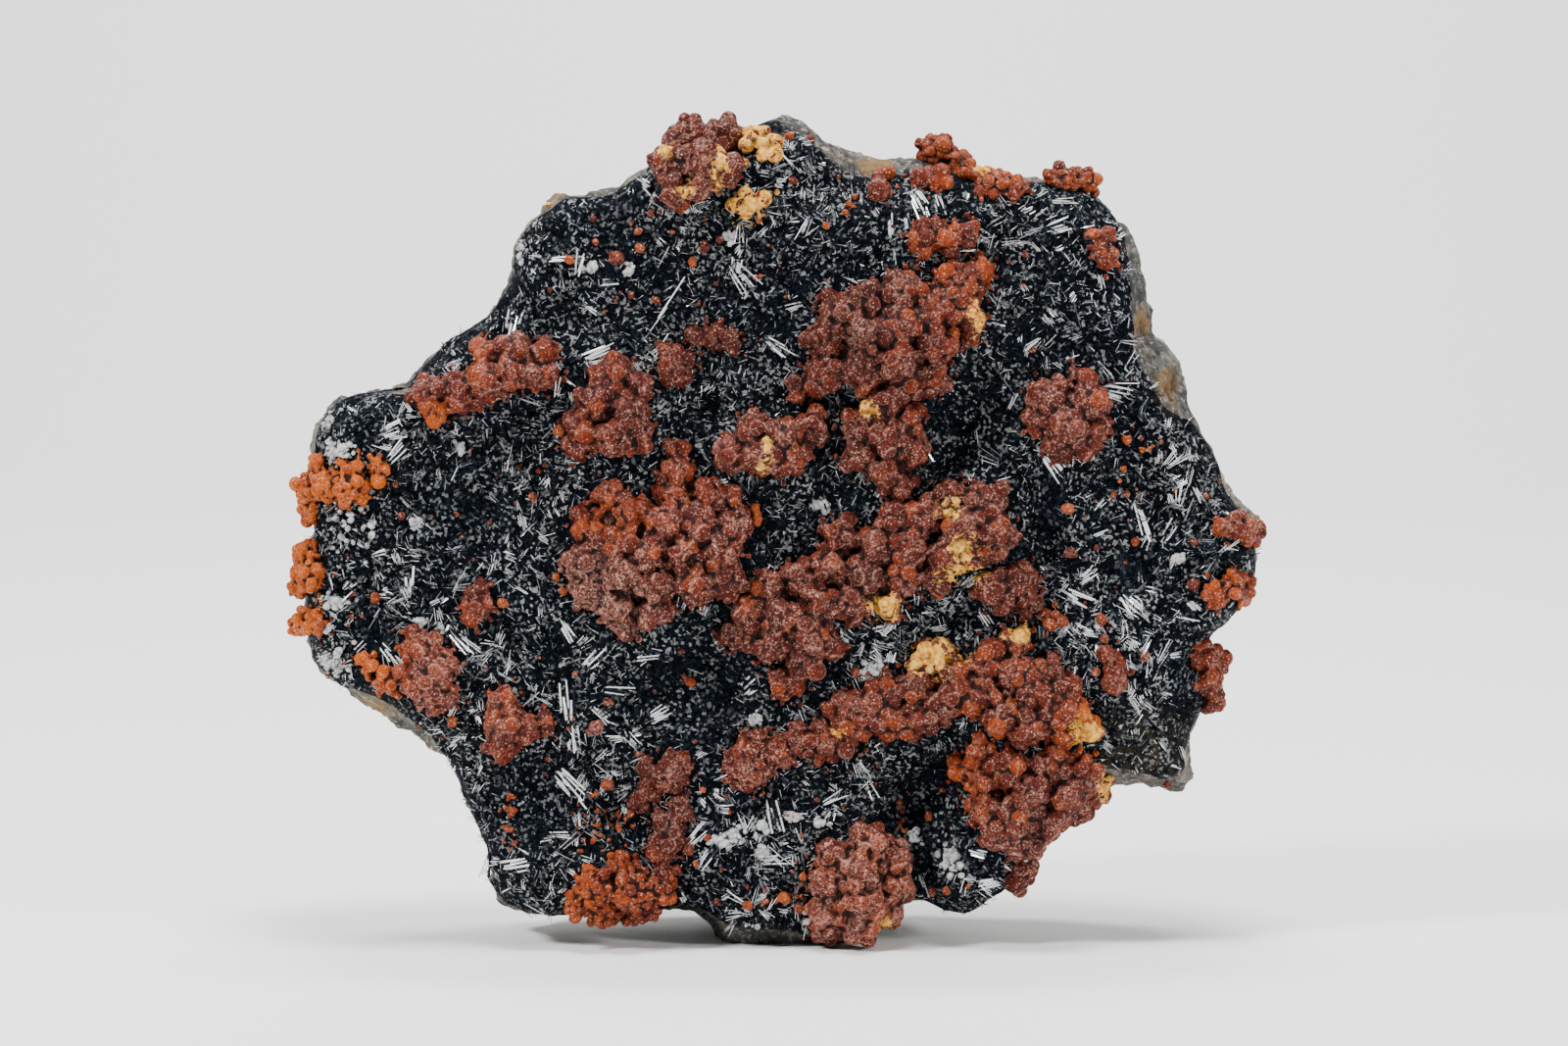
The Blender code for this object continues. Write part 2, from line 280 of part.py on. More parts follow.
    ("orpiment_right_oval", "orpiment_orange", ((40.7, 50.5, 1.3), (42.0, 50.4, 1.2))),
)

# Growth of the rounded lumps
LUMP_SWELL = 1.15
LUMP_RISE_SHARE = 0.8
CROWD_REACH = 6.5
CROWD_RISE = 2.6
LUMP_SINK = 0.4
NEIGHBOUR_REACH = 1.0

# Growth of the needles
NEEDLE_ROOT = 0.9
NEEDLE_LIFT = (0.5, 1.5)
NEEDLE_GIRTH = 0.62
NEEDLE_TAPER = 0.62
NEEDLE_CLEARANCE = 1.1
BUNDLE_WIDENING = 0.3
BUNDLE_SPACING = 1.1

# Colours: base colour, roughness and metallic value
FINISHES = {
    "matrix_rock": ((0.40, 0.38, 0.34), 0.85, 0.0),
    "hutchinsonite": ((0.05, 0.06, 0.08), 0.35, 0.3),
    "orpiment_red": ((0.34, 0.10, 0.05), 0.55, 0.0),
    "orpiment_orange": ((0.62, 0.20, 0.03), 0.50, 0.0),
    "orpiment_yellow": ((0.66, 0.44, 0.14), 0.75, 0.0),
}


def clear_scene():
    """Removes every object that the scene starts with."""
    for item in list(bpy.data.objects):
        bpy.data.objects.remove(item, do_unlink=True)


def new_collection(name):
    """Makes a collection under the scene's own."""
    group = bpy.data.collections.new(name)
    bpy.context.scene.collection.children.link(group)
    return group


def polar_outline():
    """Gives angle, radius and bare rim of the outline points in order of angle."""
    rows = []
    for x, z, rim in OUTLINE:
        rows.append((math.atan2(z - CENTRE_Z, x - CENTRE_X), math.hypot(x - CENTRE_X, z - CENTRE_Z), rim))
    rows.sort()
    return np.array(rows).T


ANGLES, RADII, RIMS = polar_outline()


def edge_radius(angle):
    """Distance from the plate's centre to its edge in one direction."""
    return float(np.interp(angle, ANGLES, RADII, period=math.tau))


def bare_rim(angle):
    """Width of uncrusted rock inside the edge in one direction."""
    return float(np.interp(angle, ANGLES, RIMS, period=math.tau))


def inside_edge(x, z):
    """How far a place lies inside the plate's edge; negative beyond it."""
    angle = math.atan2(z - CENTRE_Z, x - CENTRE_X)
    return edge_radius(angle) - math.hypot(x - CENTRE_X, z - CENTRE_Z)


def relief(x, z):
    """Height of the swells and hollows at one place."""
    height = 0.9 * noise.noise(Vector((x, 3.0, z)) / 6.0)
    for swell_x, swell_z, wide, high, rise in SWELLS:
        away = ((x - swell_x) / wide) ** 2 + ((z - swell_z) / high) ** 2
        height += rise * math.exp(-away)
    return height


def crust_front(x, z):
    """Depth of the crusted face, which rounds off towards the edge."""
    share = min(max(inside_edge(x, z) / ROUND_WIDTH, 0.0), 1.0)
    rounding = (1.0 - (1.0 - share) ** 2) ** 0.6
    return RIM_Y - (FACE_RISE + relief(x, z)) * rounding


def rock_front(x, z):
    """Depth of the rock under the crust."""
    share = min(0.35 + max(inside_edge(x, z), 0.0) / 4.0, 1.0)
    return crust_front(x, z) + CRUST_THICKNESS * share


def rock_back(x, z):
    """Depth of the broken back, the nearest of its planes."""
    planes = (c + a * x + b * (z - CENTRE_Z) for c, a, b in BACK_PLANES)
    return min(planes) + 0.7 * noise.noise(Vector((x, 40.0, z)) / 8.0)


def foot_share(angle):
    """Share of the side insets that is kept in one direction, least above the foot."""
    turn = (angle - FOOT_ANGLE + math.pi) % math.tau - math.pi
    return 1.0 - (1.0 - FOOT_INSET_SHARE) * math.exp(-(turn / FOOT_SPREAD) ** 2)


def disc_place(a, b):
    """Maps a place on the square from -1 to 1 onto the disc: radius share and angle."""
    if a == 0.0 and b == 0.0:
        return 0.0, 0.0
    if abs(a) >= abs(b):
        share = a
        angle = math.pi / 4.0 * b / a
    else:
        share = b
        angle = math.pi / 2.0 - math.pi / 4.0 * a / b
    if share < 0.0:
        angle += math.pi
    return abs(share), (angle + math.pi) % math.tau - math.pi


def plate_point(angle, reach):
    """The place on the plate at a distance from its centre."""
    return CENTRE_X + reach * math.cos(angle), CENTRE_Z + reach * math.sin(angle)


def rock_place(a, b, layer):
    """Place of the rock's surface; layer runs from 0 at the front to 1 at the back."""
    share, angle = disc_place(a, b)
    edge = edge_radius(angle)
    inset = SIDE_INSETS[round(layer * (SIDE_CUTS + 1))] * foot_share(angle)
    x, z = plate_point(angle, share * (edge - inset))
    if layer == 0.0:
        return x, rock_front(x, z), z
    if layer == 1.0:
        return x, rock_back(x, z), z
    rough = 1.1 * layer * noise.noise(Vector((x, 20.0 * layer, z)) / 5.0)
    x, z = plate_point(angle, edge - inset - abs(rough))
    back_x, back_z = plate_point(angle, edge - SIDE_INSETS[-1] * foot_share(angle))
    front_y = RIM_Y + CRUST_THICKNESS * 0.35
    return x, front_y + layer * (rock_back(back_x, back_z) - front_y), z


def crust_place(a, b, layer):
    """Place of the crust block's surface; its back lies inside the rock."""
    share, angle = disc_place(a, b)
    x, z = plate_point(angle, share * (edge_radius(angle) - bare_rim(angle)))
    if layer == 0.0:
        return x, crust_front(x, z), z
    return x, 1.0, z


def add_object(name, shape, group):
    """Turns a bmesh into a mesh object in a collection."""
    bmesh.ops.recalc_face_normals(shape, faces=shape.faces[:])
    mesh = bpy.data.meshes.new(name)
    shape.to_mesh(mesh)
    shape.free()
    item = bpy.data.objects.new(name, mesh)
    group.objects.link(item)
    return item


def add_block(name, cells, cuts, place, group):
    """A square grid with thickness, bent onto the plate by a place function."""
    shape = bmesh.new()
    bmesh.ops.create_grid(shape, x_segments=cells, y_segments=cells, size=1.0)
    bmesh.ops.extrude_face_region(shape, geom=shape.faces[:], use_keep_orig=True)
    lifted = list(shape.verts)[(cells + 1) ** 2:]
    for vert in lifted:
        vert.co.z = 1.0
    if cuts:
        sides = [edge for edge in shape.edges if abs(edge.verts[0].co.z - edge.verts[1].co.z) > 0.5]
        bmesh.ops.subdivide_edges(shape, edges=sides, cuts=cuts, use_grid_fill=True)
    for vert in shape.verts:
        vert.co = place(vert.co.x, vert.co.y, round(vert.co.z, 6))
    return add_object(name, shape, group)


def bake(item):
    """Replaces an object's mesh by its evaluated form."""
    graph = bpy.context.evaluated_depsgraph_get()
    mesh = bpy.data.meshes.new_from_object(item.evaluated_get(graph))
    item.modifiers.clear()
    item.data = mesh


def triangle_count(item):
    """Number of triangles of an object's mesh."""
    item.data.calc_loop_triangles()
    return len(item.data.loop_triangles)


def thin_out(item, keep):
    """Collapses edges until a share of the faces is left, flat stretches first."""
    collapse = item.modifiers.new("fewer_faces", "DECIMATE")
    collapse.decimate_type = "COLLAPSE"
    collapse.ratio = keep
    bake(item)


def combine(item, other, operation, self_crossing=False):
    """Cuts or joins two solids exactly."""
    cut = item.modifiers.new("combine", "BOOLEAN")
    cut.solver = "EXACT"
    cut.operation = operation
    cut.object = other
    cut.use_self = self_crossing
    bake(item)


def cut_away(item, other):
    """Cuts a thinned solid, whose faces may cross a little, so that the exact cut fails on it."""
    cut = item.modifiers.new("cut_away", "BOOLEAN")
    cut.solver = "MANIFOLD"
    cut.operation = "DIFFERENCE"
    cut.object = other
    bake(item)


def swollen_copy(item, name, group, distance):
    """A copy grown outwards, which cuts a neighbour with a gap."""
    shape = bmesh.new()
    shape.from_mesh(item.data)
    shape.normal_update()
    moves = [vert.normal * distance for vert in shape.verts]
    for vert, move in zip(shape.verts, moves):
        vert.co += move
    copy = add_object(name, shape, group)
    copy.hide_render = True
    copy.display_type = "WIRE"
    return copy


def keep_main_body(item):
    """Deletes crumbs that a cut leaves beside the main body."""
    shape = bmesh.new()
    shape.from_mesh(item.data)
    left = set(shape.verts)
    bodies = []
    while left:
        body = set()
        front = [left.pop()]
        while front:
            vert = front.pop()
            body.add(vert)
            for edge in vert.link_edges:
                other = edge.other_vert(vert)
                if other in left:
                    left.remove(other)
                    front.append(other)
        bodies.append(body)
    bodies.sort(key=len)
    crumbs = [vert for body in bodies[:-1] for vert in body]
    bmesh.ops.delete(shape, geom=crumbs, context="VERTS")
    bmesh.ops.triangulate(shape, faces=shape.faces[:])
    shape.to_mesh(item.data)
    shape.free()


def ground_block(group):
    """The space under the foot."""
    shape = bmesh.new()
    bmesh.ops.create_cube(shape, size=1.0)
    place = Matrix.Translation((0.0, 0.0, -20.0)) @ Matrix.Diagonal((240.0, 160.0, 40.0, 1.0))
    bmesh.ops.transform(shape, matrix=place, verts=shape.verts[:])
    block = add_object("ground_block", shape, group)
    block.hide_render = True
    block.display_type = "WIRE"
    return block


def add_needle(shape, x, z, direction, length, width, lift):
    """One needle: rooted in the crust at one end, lifted off it at the other."""
    run = Vector((math.cos(direction), 0.0, math.sin(direction))) * length / 2.0
    root = Vector((x, 0.0, z)) - run
    tip = Vector((x, 0.0, z)) + run
    root.y = crust_front(root.x, root.z) + NEEDLE_ROOT
    tip.y = crust_front(tip.x, tip.z) - lift
    axis = tip - root
    turn = axis.to_track_quat("Z", "Y").to_matrix().to_4x4()
    place = Matrix.Translation((root + tip) / 2.0) @ turn
    girth = width * NEEDLE_GIRTH
    bmesh.ops.create_cone(
        shape, cap_ends=True, segments=4, radius1=girth, radius2=girth * NEEDLE_TAPER,
        depth=axis.length, matrix=place)


def clear_of_lumps(x, z, direction, length):
    """Whether a needle stays away from every lump along its whole run."""
    for share in (-0.5, -0.25, 0.0, 0.25, 0.5):
        at_x = x + math.cos(direction) * length * share
        at_z = z + math.sin(direction) * length * share
        for name, finish, lobes in CLUSTERS:
            for lobe_x, lobe_z, radius in lobes:
                away = math.hypot(lobe_x - at_x, lobe_z - at_z)
                if away < radius * LUMP_SWELL + NEEDLE_CLEARANCE:
                    return False
    return True


def add_sprays(group):
    """All conspicuous needles that stand free, each bundle fanned about its root."""
    dice = random.Random(7)
    shape = bmesh.new()
    for x, z, degrees, length, width, count, fan in SPRAYS:
        blades = (count + 1) // 2
        width *= 1.0 + BUNDLE_WIDENING * (count - blades)
        for index in range(blades):
            offset = 0.0 if blades == 1 else index / (blades - 1) - 0.5
            direction = math.radians(degrees + fan * offset)
            side = width * BUNDLE_SPACING * offset * (blades - 1)
            at_x = x - math.sin(direction) * side
            at_z = z + math.cos(direction) * side
            reach = length * dice.uniform(0.86, 1.0)
            lift = dice.uniform(*NEEDLE_LIFT)
            if clear_of_lumps(at_x, at_z, direction, reach):
                add_needle(shape, at_x, at_z, direction, reach, width, lift)
    return add_object("needles", shape, group)


def add_lump(shape, x, z, radius, rise, dice):
    """One rounded lump, half sunk in the crust."""
    made = bmesh.ops.create_icosphere(shape, subdivisions=2, radius=LUMP_SWELL)
    turn = Matrix.Rotation(dice.uniform(0.0, math.tau), 4, Vector(dice.choices((-1.0, 0.3, 0.8), k=3)))
    size = Matrix.Diagonal((radius, rise, radius, 1.0))
    place = Matrix.Translation((x, crust_front(x, z) + LUMP_SINK, z))
    bmesh.ops.transform(shape, matrix=place @ size @ turn, verts=made["verts"])


def lump_rise(lobe, lobes):
    """Lumps in the thick of a cluster stand out further than those at its edge."""
    x, z, radius = lobe
    near = sum(1 for other in lobes if math.hypot(other[0] - x, other[1] - z) < CROWD_REACH) - 1
    return LUMP_RISE_SHARE * radius + CROWD_RISE * min(near / 6.0, 1.0)


def add_cluster(name, lobes, group, helpers):
    """A cluster of lumps joined into one body."""
    dice = random.Random(name)
    shape = bmesh.new()
    add_lump(shape, *lobes[0], lump_rise(lobes[0], lobes), dice)
    cluster = add_object(name, shape, group)
    if len(lobes) > 1:
        rest = bmesh.new()
        for lobe in lobes[1:]:
            add_lump(rest, *lobe, lump_rise(lobe, lobes), dice)
        others = add_object(name + "_lumps", rest, helpers)
        combine(cluster, others, "UNION", self_crossing=True)
        bpy.data.objects.remove(others, do_unlink=True)
    faces = LUMP_FACES * len(lobes) + CLUSTER_FACES
    thin_out(cluster, min(faces / triangle_count(cluster), 1.0))
    return cluster


def lobe_box(lobes):
    """The rectangle that a cluster's lobes cover."""
    low_x = min(x - radius for x, z, radius in lobes)
    high_x = max(x + radius for x, z, radius in lobes)
    low_z = min(z - radius for x, z, radius in lobes)
    high_z = max(z + radius for x, z, radius in lobes)
    return low_x, high_x, low_z, high_z


def boxes_meet(first, second):
    """Whether two rectangles come within a small distance."""
    apart_x = first[0] > second[1] + NEIGHBOUR_REACH or second[0] > first[1] + NEIGHBOUR_REACH
    apart_z = first[2] > second[3] + NEIGHBOUR_REACH or second[2] > first[3] + NEIGHBOUR_REACH
    return not (apart_x or apart_z)


def build_rock(parts, helpers):
    """The plate of rock, cut flat at its foot."""
    rock = add_block("matrix", ROCK_CELLS, SIDE_CUTS, rock_place, parts)
    thin_out(rock, ROCK_KEEP)
    combine(rock, ground_block(helpers), "DIFFERENCE")
    keep_main_body(rock)
    return rock


def build_crust(rock_space, parts, helpers):
    """The needle crust on the rock's face, and the space that it fills without its needles."""
    crust = add_block("hutchinsonite_crust", CRUST_CELLS, 0, crust_place, parts)
    thin_out(crust, CRUST_KEEP)
    space = swollen_copy(crust, "crust_space", helpers, STEEP_GAP)
    combine(crust, add_sprays(helpers), "UNION", self_crossing=True)
    combine(crust, rock_space, "DIFFERENCE")
    keep_main_body(crust)
    return crust, space


def build_clusters(spaces, parts, helpers):
    """All orpiment clusters, each clear of the rock, the crust and its neighbours."""
    done = []
    clusters = []
    for name, finish, lobes in CLUSTERS:
        cluster = add_cluster(name, lobes, parts, helpers)
        own_space = swollen_copy(cluster, name + "_space", helpers, GAP)
        box = lobe_box(lobes)
        for space in spaces:
            cut_away(cluster, space)
        for other_box, other_space in done:
            if boxes_meet(box, other_box):
                cut_away(cluster, other_space)
        keep_main_body(cluster)
        done.append((box, own_space))
        clusters.append((cluster, finish))
    return clusters


def make_finish(name):
    """The material of one kind of mineral."""
    colour, roughness, metallic = FINISHES[name]
    finish = bpy.data.materials.new(name)
    finish.use_nodes = True
    surface = finish.node_tree.nodes["Principled BSDF"]
    surface.inputs["Base Color"].default_value = (*colour, 1.0)
    surface.inputs["Roughness"].default_value = roughness
    surface.inputs["Metallic"].default_value = metallic
    return finish


def centre_of(items):
    """The middle of the common box of several objects, across and in depth."""
    corners = np.array([vert.co[:] for item in items for vert in item.data.vertices])
    middle = (corners.min(axis=0) + corners.max(axis=0)) / 2.0
    return middle[0], middle[1]


def finish_parts(dressed):
    """Scales the parts to metres, dresses them and centres them over the foot."""
    middle_x, middle_y = centre_of([item for item, name in dressed])
    to_metres = Matrix.Scale(MM, 4) @ Matrix.Translation((-middle_x, -middle_y, 0.0))
    finishes = {name: make_finish(name) for name in FINISHES}
    specimen = bpy.data.objects.new("specimen", None)
    bpy.context.scene.collection.objects.link(specimen)
    for item, name in dressed:
        item.data.transform(to_metres)
        item.data.materials.clear()
        item.data.materials.append(finishes[name])
        item.parent = specimen


def main():
    """Builds rock, crust and clusters."""
    clear_scene()
    parts = new_collection("hutchinsonite_on_matrix")
    helpers = new_collection("cutters")
    rock = build_rock(parts, helpers)
    rock_space = swollen_copy(rock, "rock_space", helpers, GAP)
    crust, crust_space = build_crust(rock_space, parts, helpers)
    clusters = build_clusters((crust_space, rock_space), parts, helpers)
    finish_parts([(rock, "matrix_rock"), (crust, "hutchinsonite")] + clusters)
    for helper in list(helpers.objects):
        bpy.data.objects.remove(helper, do_unlink=True)


main()
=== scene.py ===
"""Hutchinsonite needles and orpiment growths on a plate of rock, dressed for the studio.

Places and sizes are in millimetres as measured on the specimen from the front: x to the right, z up from
the foot. A skin is an array of points with an array of faces, and turns into metres when it becomes a piece.
"""

from __future__ import annotations

import json
import logging
import math
from collections.abc import Callable, Sequence
from dataclasses import dataclass, field
from enum import Enum

import bmesh
import bpy
import numpy as np
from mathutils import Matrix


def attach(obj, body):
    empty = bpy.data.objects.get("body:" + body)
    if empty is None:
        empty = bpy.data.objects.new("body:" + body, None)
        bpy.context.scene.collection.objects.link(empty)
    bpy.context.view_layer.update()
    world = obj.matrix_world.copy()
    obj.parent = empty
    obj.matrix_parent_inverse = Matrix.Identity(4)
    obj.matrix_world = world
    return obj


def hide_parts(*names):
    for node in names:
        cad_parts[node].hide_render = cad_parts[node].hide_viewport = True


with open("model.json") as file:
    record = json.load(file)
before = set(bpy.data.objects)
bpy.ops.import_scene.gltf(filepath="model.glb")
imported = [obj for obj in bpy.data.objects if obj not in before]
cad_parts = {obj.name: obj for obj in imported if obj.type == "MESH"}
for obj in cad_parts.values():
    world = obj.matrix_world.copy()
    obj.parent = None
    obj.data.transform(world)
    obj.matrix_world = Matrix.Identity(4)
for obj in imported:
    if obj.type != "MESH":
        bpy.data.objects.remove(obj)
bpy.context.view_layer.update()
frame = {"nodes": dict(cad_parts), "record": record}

logging.basicConfig(level=logging.INFO, format="%(message)s")
log = logging.getLogger("specimen")

# A millimetre in the frame's metres
MM = 0.001
# What an x measured on the specimen lacks to the frame's x
MEASURE_SHIFT = 0.27
# Room for random places across and up
HALF_WIDTH = 76.0
HEIGHT = 128.0
BODY = "root"

Rows = Sequence[Sequence[float]]
FreeTest = Callable[[np.ndarray, np.ndarray], np.ndarray]
Colour = tuple[float, float, float, float]


class Slot(Enum):
    """The record's material slots."""

    ROCK = "matrix_rock"
    NEEDLES = "hutchinsonite"
    RED = "orpiment_red"
    ORANGE = "orpiment_orange"
    YELLOW = "orpiment_yellow"


class Lattice:
    """Smooth noise from random values on the corners of cubic cells, the same in each run."""

    def __init__(self, seed: int, size: int = 32) -> None:
        """Draws the corner values.

        Args:
            seed: Number that the values follow from.
            size: Cells after which the noise repeats.
        """
        self.size = size
        self.values = np.random.default_rng(seed).uniform(-1.0, 1.0, (size, size, size))

    def at(self, points: np.ndarray, cell: float) -> np.ndarray:
        """Mixes the eight corner values with weights 3t^2 - 2t^3 along each axis.

        Args:
            points: Places, one a row.
            cell: Width of a cell.

        Returns:
            One value from -1 to 1 for each place.
        """
        place = points / cell
        base = np.floor(place).astype(int)
        share = place - base
        share = share * share * (3.0 - 2.0 * share)
        total = np.zeros(len(points))
        for corner in np.ndindex(2, 2, 2):
            weight = np.prod(np.where(np.array(corner) == 1, share, 1.0 - share), axis=1)
            index = (base + corner) % self.size
            total += weight * self.values[index[:, 0], index[:, 1], index[:, 2]]
        return total

    def layers(self, points: np.ndarray, cell: float, count: int) -> np.ndarray:
        """Sums noise of halved cells with halved weights.

        Args:
            points: Places, one a row.
            cell: Width of the largest cell.
            count: Number of layers.

        Returns:
            One value for each place, about -1 to 1.
        """
        total = np.zeros(len(points))
        for layer in range(count):
            total += self.at(points + 17.3 * layer, cell * 0.5**layer) * 0.5**layer
        return total


@dataclass
class Skin:
    """Points and faces of a surface, all faces with the same number of corners."""

    points: np.ndarray
    faces: np.ndarray

    def normals(self) -> np.ndarray:
        """Unit normals of the points: the sum of the crossed diagonals or sides of their faces.

        Returns:
            One direction for each point.
        """
        corners = self.points[self.faces]
        if self.faces.shape[1] == 4:
            across = np.cross(corners[:, 2] - corners[:, 0], corners[:, 3] - corners[:, 1])
        else:
            across = np.cross(corners[:, 1] - corners[:, 0], corners[:, 2] - corners[:, 0])
        count = len(self.points)
        flat = self.faces.ravel()
        spread = np.repeat(across, self.faces.shape[1], axis=0)
        total = np.stack([np.bincount(flat, spread[:, axis], count) for axis in range(3)], axis=1)
        return total / np.maximum(np.linalg.norm(total, axis=1, keepdims=True), 1e-12)

    def relaxed(self, values: np.ndarray, rounds: int) -> np.ndarray:
        """Replaces each value by the mean over its neighbours, several times.

        Args:
            values: One row for each point.
            rounds: How many times.

        Returns:
            The evened values.
        """
        start = self.faces.ravel()
        end = np.roll(self.faces, -1, axis=1).ravel()
        here = np.concatenate([start, end])
        there = np.concatenate([end, start])
        count = len(self.points)
        share = 1.0 / np.maximum(np.bincount(here, minlength=count), 1)
        for _ in range(rounds):
            sums = [np.bincount(here, values[there, column], count) for column in range(values.shape[1])]
            values = np.stack(sums, axis=1) * share[:, None]
        return values

    def hollows(self, rounds: int, depth: float) -> np.ndarray:
        """How deep each point lies in a crease: its offset below the mean surface over a depth.

        Args:
            rounds: Rounds of evening that give the mean surface.
            depth: Offset in millimetres that counts as 1.

        Returns:
            One value from 0 to 1 for each point.
        """
        even = self.relaxed(self.points, rounds)
        below = np.einsum("ij,ij->i", even - self.points, self.normals())
        return np.clip(below / depth, 0.0, 1.0)


def joined(skins: Sequence[Skin]) -> Skin:
    """Puts several skins into one, their points numbered on.

    Args:
        skins: Skins whose faces have the same number of corners.

    Returns:
        One skin.
    """
    offsets = np.cumsum([0] + [len(skin.points) for skin in skins[:-1]])
    points = np.concatenate([skin.points for skin in skins])
    faces = np.concatenate([skin.faces + offset for skin, offset in zip(skins, offsets)])
    return Skin(points, faces)


def make_piece(
    name: str, skin: Skin, traits: dict[str, np.ndarray] | None = None, smooth: bool = True
) -> bpy.types.Object:
    """Turns a skin into a mesh object at the origin.

    Args:
        name: The piece's name.
        skin: Its surface in millimetres.
        traits: Attributes that the materials read, one value for each point.
        smooth: Whether the faces are shaded smooth.

    Returns:
        The new object.
    """
    count, sides = skin.faces.shape
    mesh = bpy.data.meshes.new(name)
    mesh.vertices.add(len(skin.points))
    mesh.vertices.foreach_set("co", (skin.points * MM).astype(np.float32).ravel())
    mesh.loops.add(count * sides)
    mesh.loops.foreach_set("vertex_index", skin.faces.astype(np.int32).ravel())
    mesh.polygons.add(count)
    mesh.polygons.foreach_set("loop_start", np.arange(0, count * sides, sides, dtype=np.int32))
    mesh.update(calc_edges=True)
    if smooth:
        mesh.shade_smooth()
    else:
        mesh.shade_flat()
    for trait, values in (traits or {}).items():
        attribute = mesh.attributes.new(trait, "FLOAT", "POINT")
        attribute.data.foreach_set("value", values.astype(np.float32))
    piece = bpy.data.objects.new(name, mesh)
    bpy.context.scene.collection.objects.link(piece)
    return piece


def evaluated(piece: bpy.types.Object) -> tuple[np.ndarray, np.ndarray]:
    """Reads a piece as its modifiers leave it.

    Args:
        piece: A working object.

    Returns:
        Its points in millimetres and its face corners.
    """
    graph = bpy.context.evaluated_depsgraph_get()
    mesh = bpy.data.meshes.new_from_object(piece.evaluated_get(graph))
    points = np.empty(len(mesh.vertices) * 3, dtype=np.float32)
    mesh.vertices.foreach_get("co", points)
    corners = np.empty(len(mesh.loops), dtype=np.int32)
    mesh.loops.foreach_get("vertex_index", corners)
    bpy.data.meshes.remove(mesh)
    return points.reshape(-1, 3).astype(float) / MM, corners


def remove_piece(piece: bpy.types.Object) -> None:
    """Deletes a working object with its mesh.

    Args:
        piece: The object.
    """
    mesh = piece.data
    bpy.data.objects.remove(piece, do_unlink=True)
    bpy.data.meshes.remove(mesh)


def fused(skins: Sequence[Skin], cell: float) -> Skin:
    """Grows closed skins together into one surface of squares.

    Args:
        skins: Closed skins that may cross.
        cell: Width of a square.

    Returns:
        The common outer surface.
    """
    rough = make_piece("rough", joined(skins))
    remesh = rough.modifiers.new("fuse", "REMESH")
    remesh.mode = "VOXEL"
    remesh.voxel_size = cell * MM
    points, corners = evaluated(rough)
    remove_piece(rough)
    return Skin(points, corners.reshape(-1, 4))


def node_skin(node: str) -> Skin:
    """Reads one solid of the frame, its doubles merged.

    Args:
        node: The solid's name.

    Returns:
        Its triangles in millimetres.
    """
    shape = bmesh.new()
    shape.from_mesh(frame["nodes"][node].data)
    bmesh.ops.remove_doubles(shape, verts=shape.verts[:], dist=1e-7)
    bmesh.ops.triangulate(shape, faces=shape.faces[:])
    shape.verts.index_update()
    points = np.array([vert.co[:] for vert in shape.verts]) / MM
    faces = np.array([[vert.index for vert in face.verts] for face in shape.faces])
    shape.free()
    return Skin(points, faces)


def ball(around: int, rings: int) -> Skin:
    """A unit ball (cos u sin v, sin u sin v, cos v), with u round it and v from pole to pole, its poles fans.

    Args:
        around: Number of points round it.
        rings: Number of bands from pole to pole.

    Returns:
        The ball as triangles.
    """
    u, v = np.meshgrid(
        np.linspace(0.0, math.tau, around, endpoint=False), np.linspace(0.0, math.pi, rings + 1)[1:-1])
    body = np.stack([np.cos(u) * np.sin(v), np.sin(u) * np.sin(v), np.cos(v)], axis=-1).reshape(-1, 3)
    points = np.concatenate([[[0.0, 0.0, 1.0]], body, [[0.0, 0.0, -1.0]]])
    step = np.arange(around)
    after = (step + 1) % around
    upper = 1 + (np.arange(rings - 2) * around)[:, None]
    first = np.stack([upper + step, upper + around + step, upper + around + after], axis=-1)
    second = np.stack([upper + step, upper + around + after, upper + after], axis=-1)
    low = 1 + (rings - 2) * around
    top = np.stack([np.zeros_like(step), 1 + step, 1 + after], axis=-1)
    bottom = np.stack([np.full_like(step, len(points) - 1), low + after, low + step], axis=-1)
    faces = np.concatenate([top, first.reshape(-1, 3), second.reshape(-1, 3), bottom])
    return Skin(points, faces)


def scattered(unit: Skin, centres: np.ndarray, frames: np.ndarray) -> Skin:
    """Copies of a unit skin: each point p becomes centre + p1 a + p2 b + p3 c.

    Args:
        unit: The skin to repeat.
        centres: One place for each copy.
        frames: For each copy three rows a, b and c, its scaled axes.

    Returns:
        All copies as one skin.
    """
    points = centres[:, None, :] + np.einsum("pk,nkj->npj", unit.points, frames)
    offsets = np.arange(len(centres)) * len(unit.points)
    faces = unit.faces[None] + offsets[:, None, None]
    return Skin(points.reshape(-1, 3), faces.reshape(-1, unit.faces.shape[1]))


def balls(unit: Skin, centres: np.ndarray, radii: np.ndarray) -> Skin:
    """Copies of a unit ball with the given radii."""
    return scattered(unit, centres, radii[:, None, None] * np.eye(3)[None])


def turned_frames(sizes: np.ndarray, dice: np.random.Generator) -> np.ndarray:
    """Random axes: two random vectors made square to each other, and their cross.

    Args:
        sizes: Three sizes a row, the lengths of the axes.
        dice: Random numbers.

    Returns:
        Three axes for each row.
    """
    first = dice.normal(size=sizes.shape)
    first /= np.linalg.norm(first, axis=1, keepdims=True)
    second = np.cross(first, dice.normal(size=sizes.shape))
    second /= np.linalg.norm(second, axis=1, keepdims=True)
    axes = np.stack([first, second, np.cross(first, second)], axis=1)
    return axes * sizes[:, :, None]


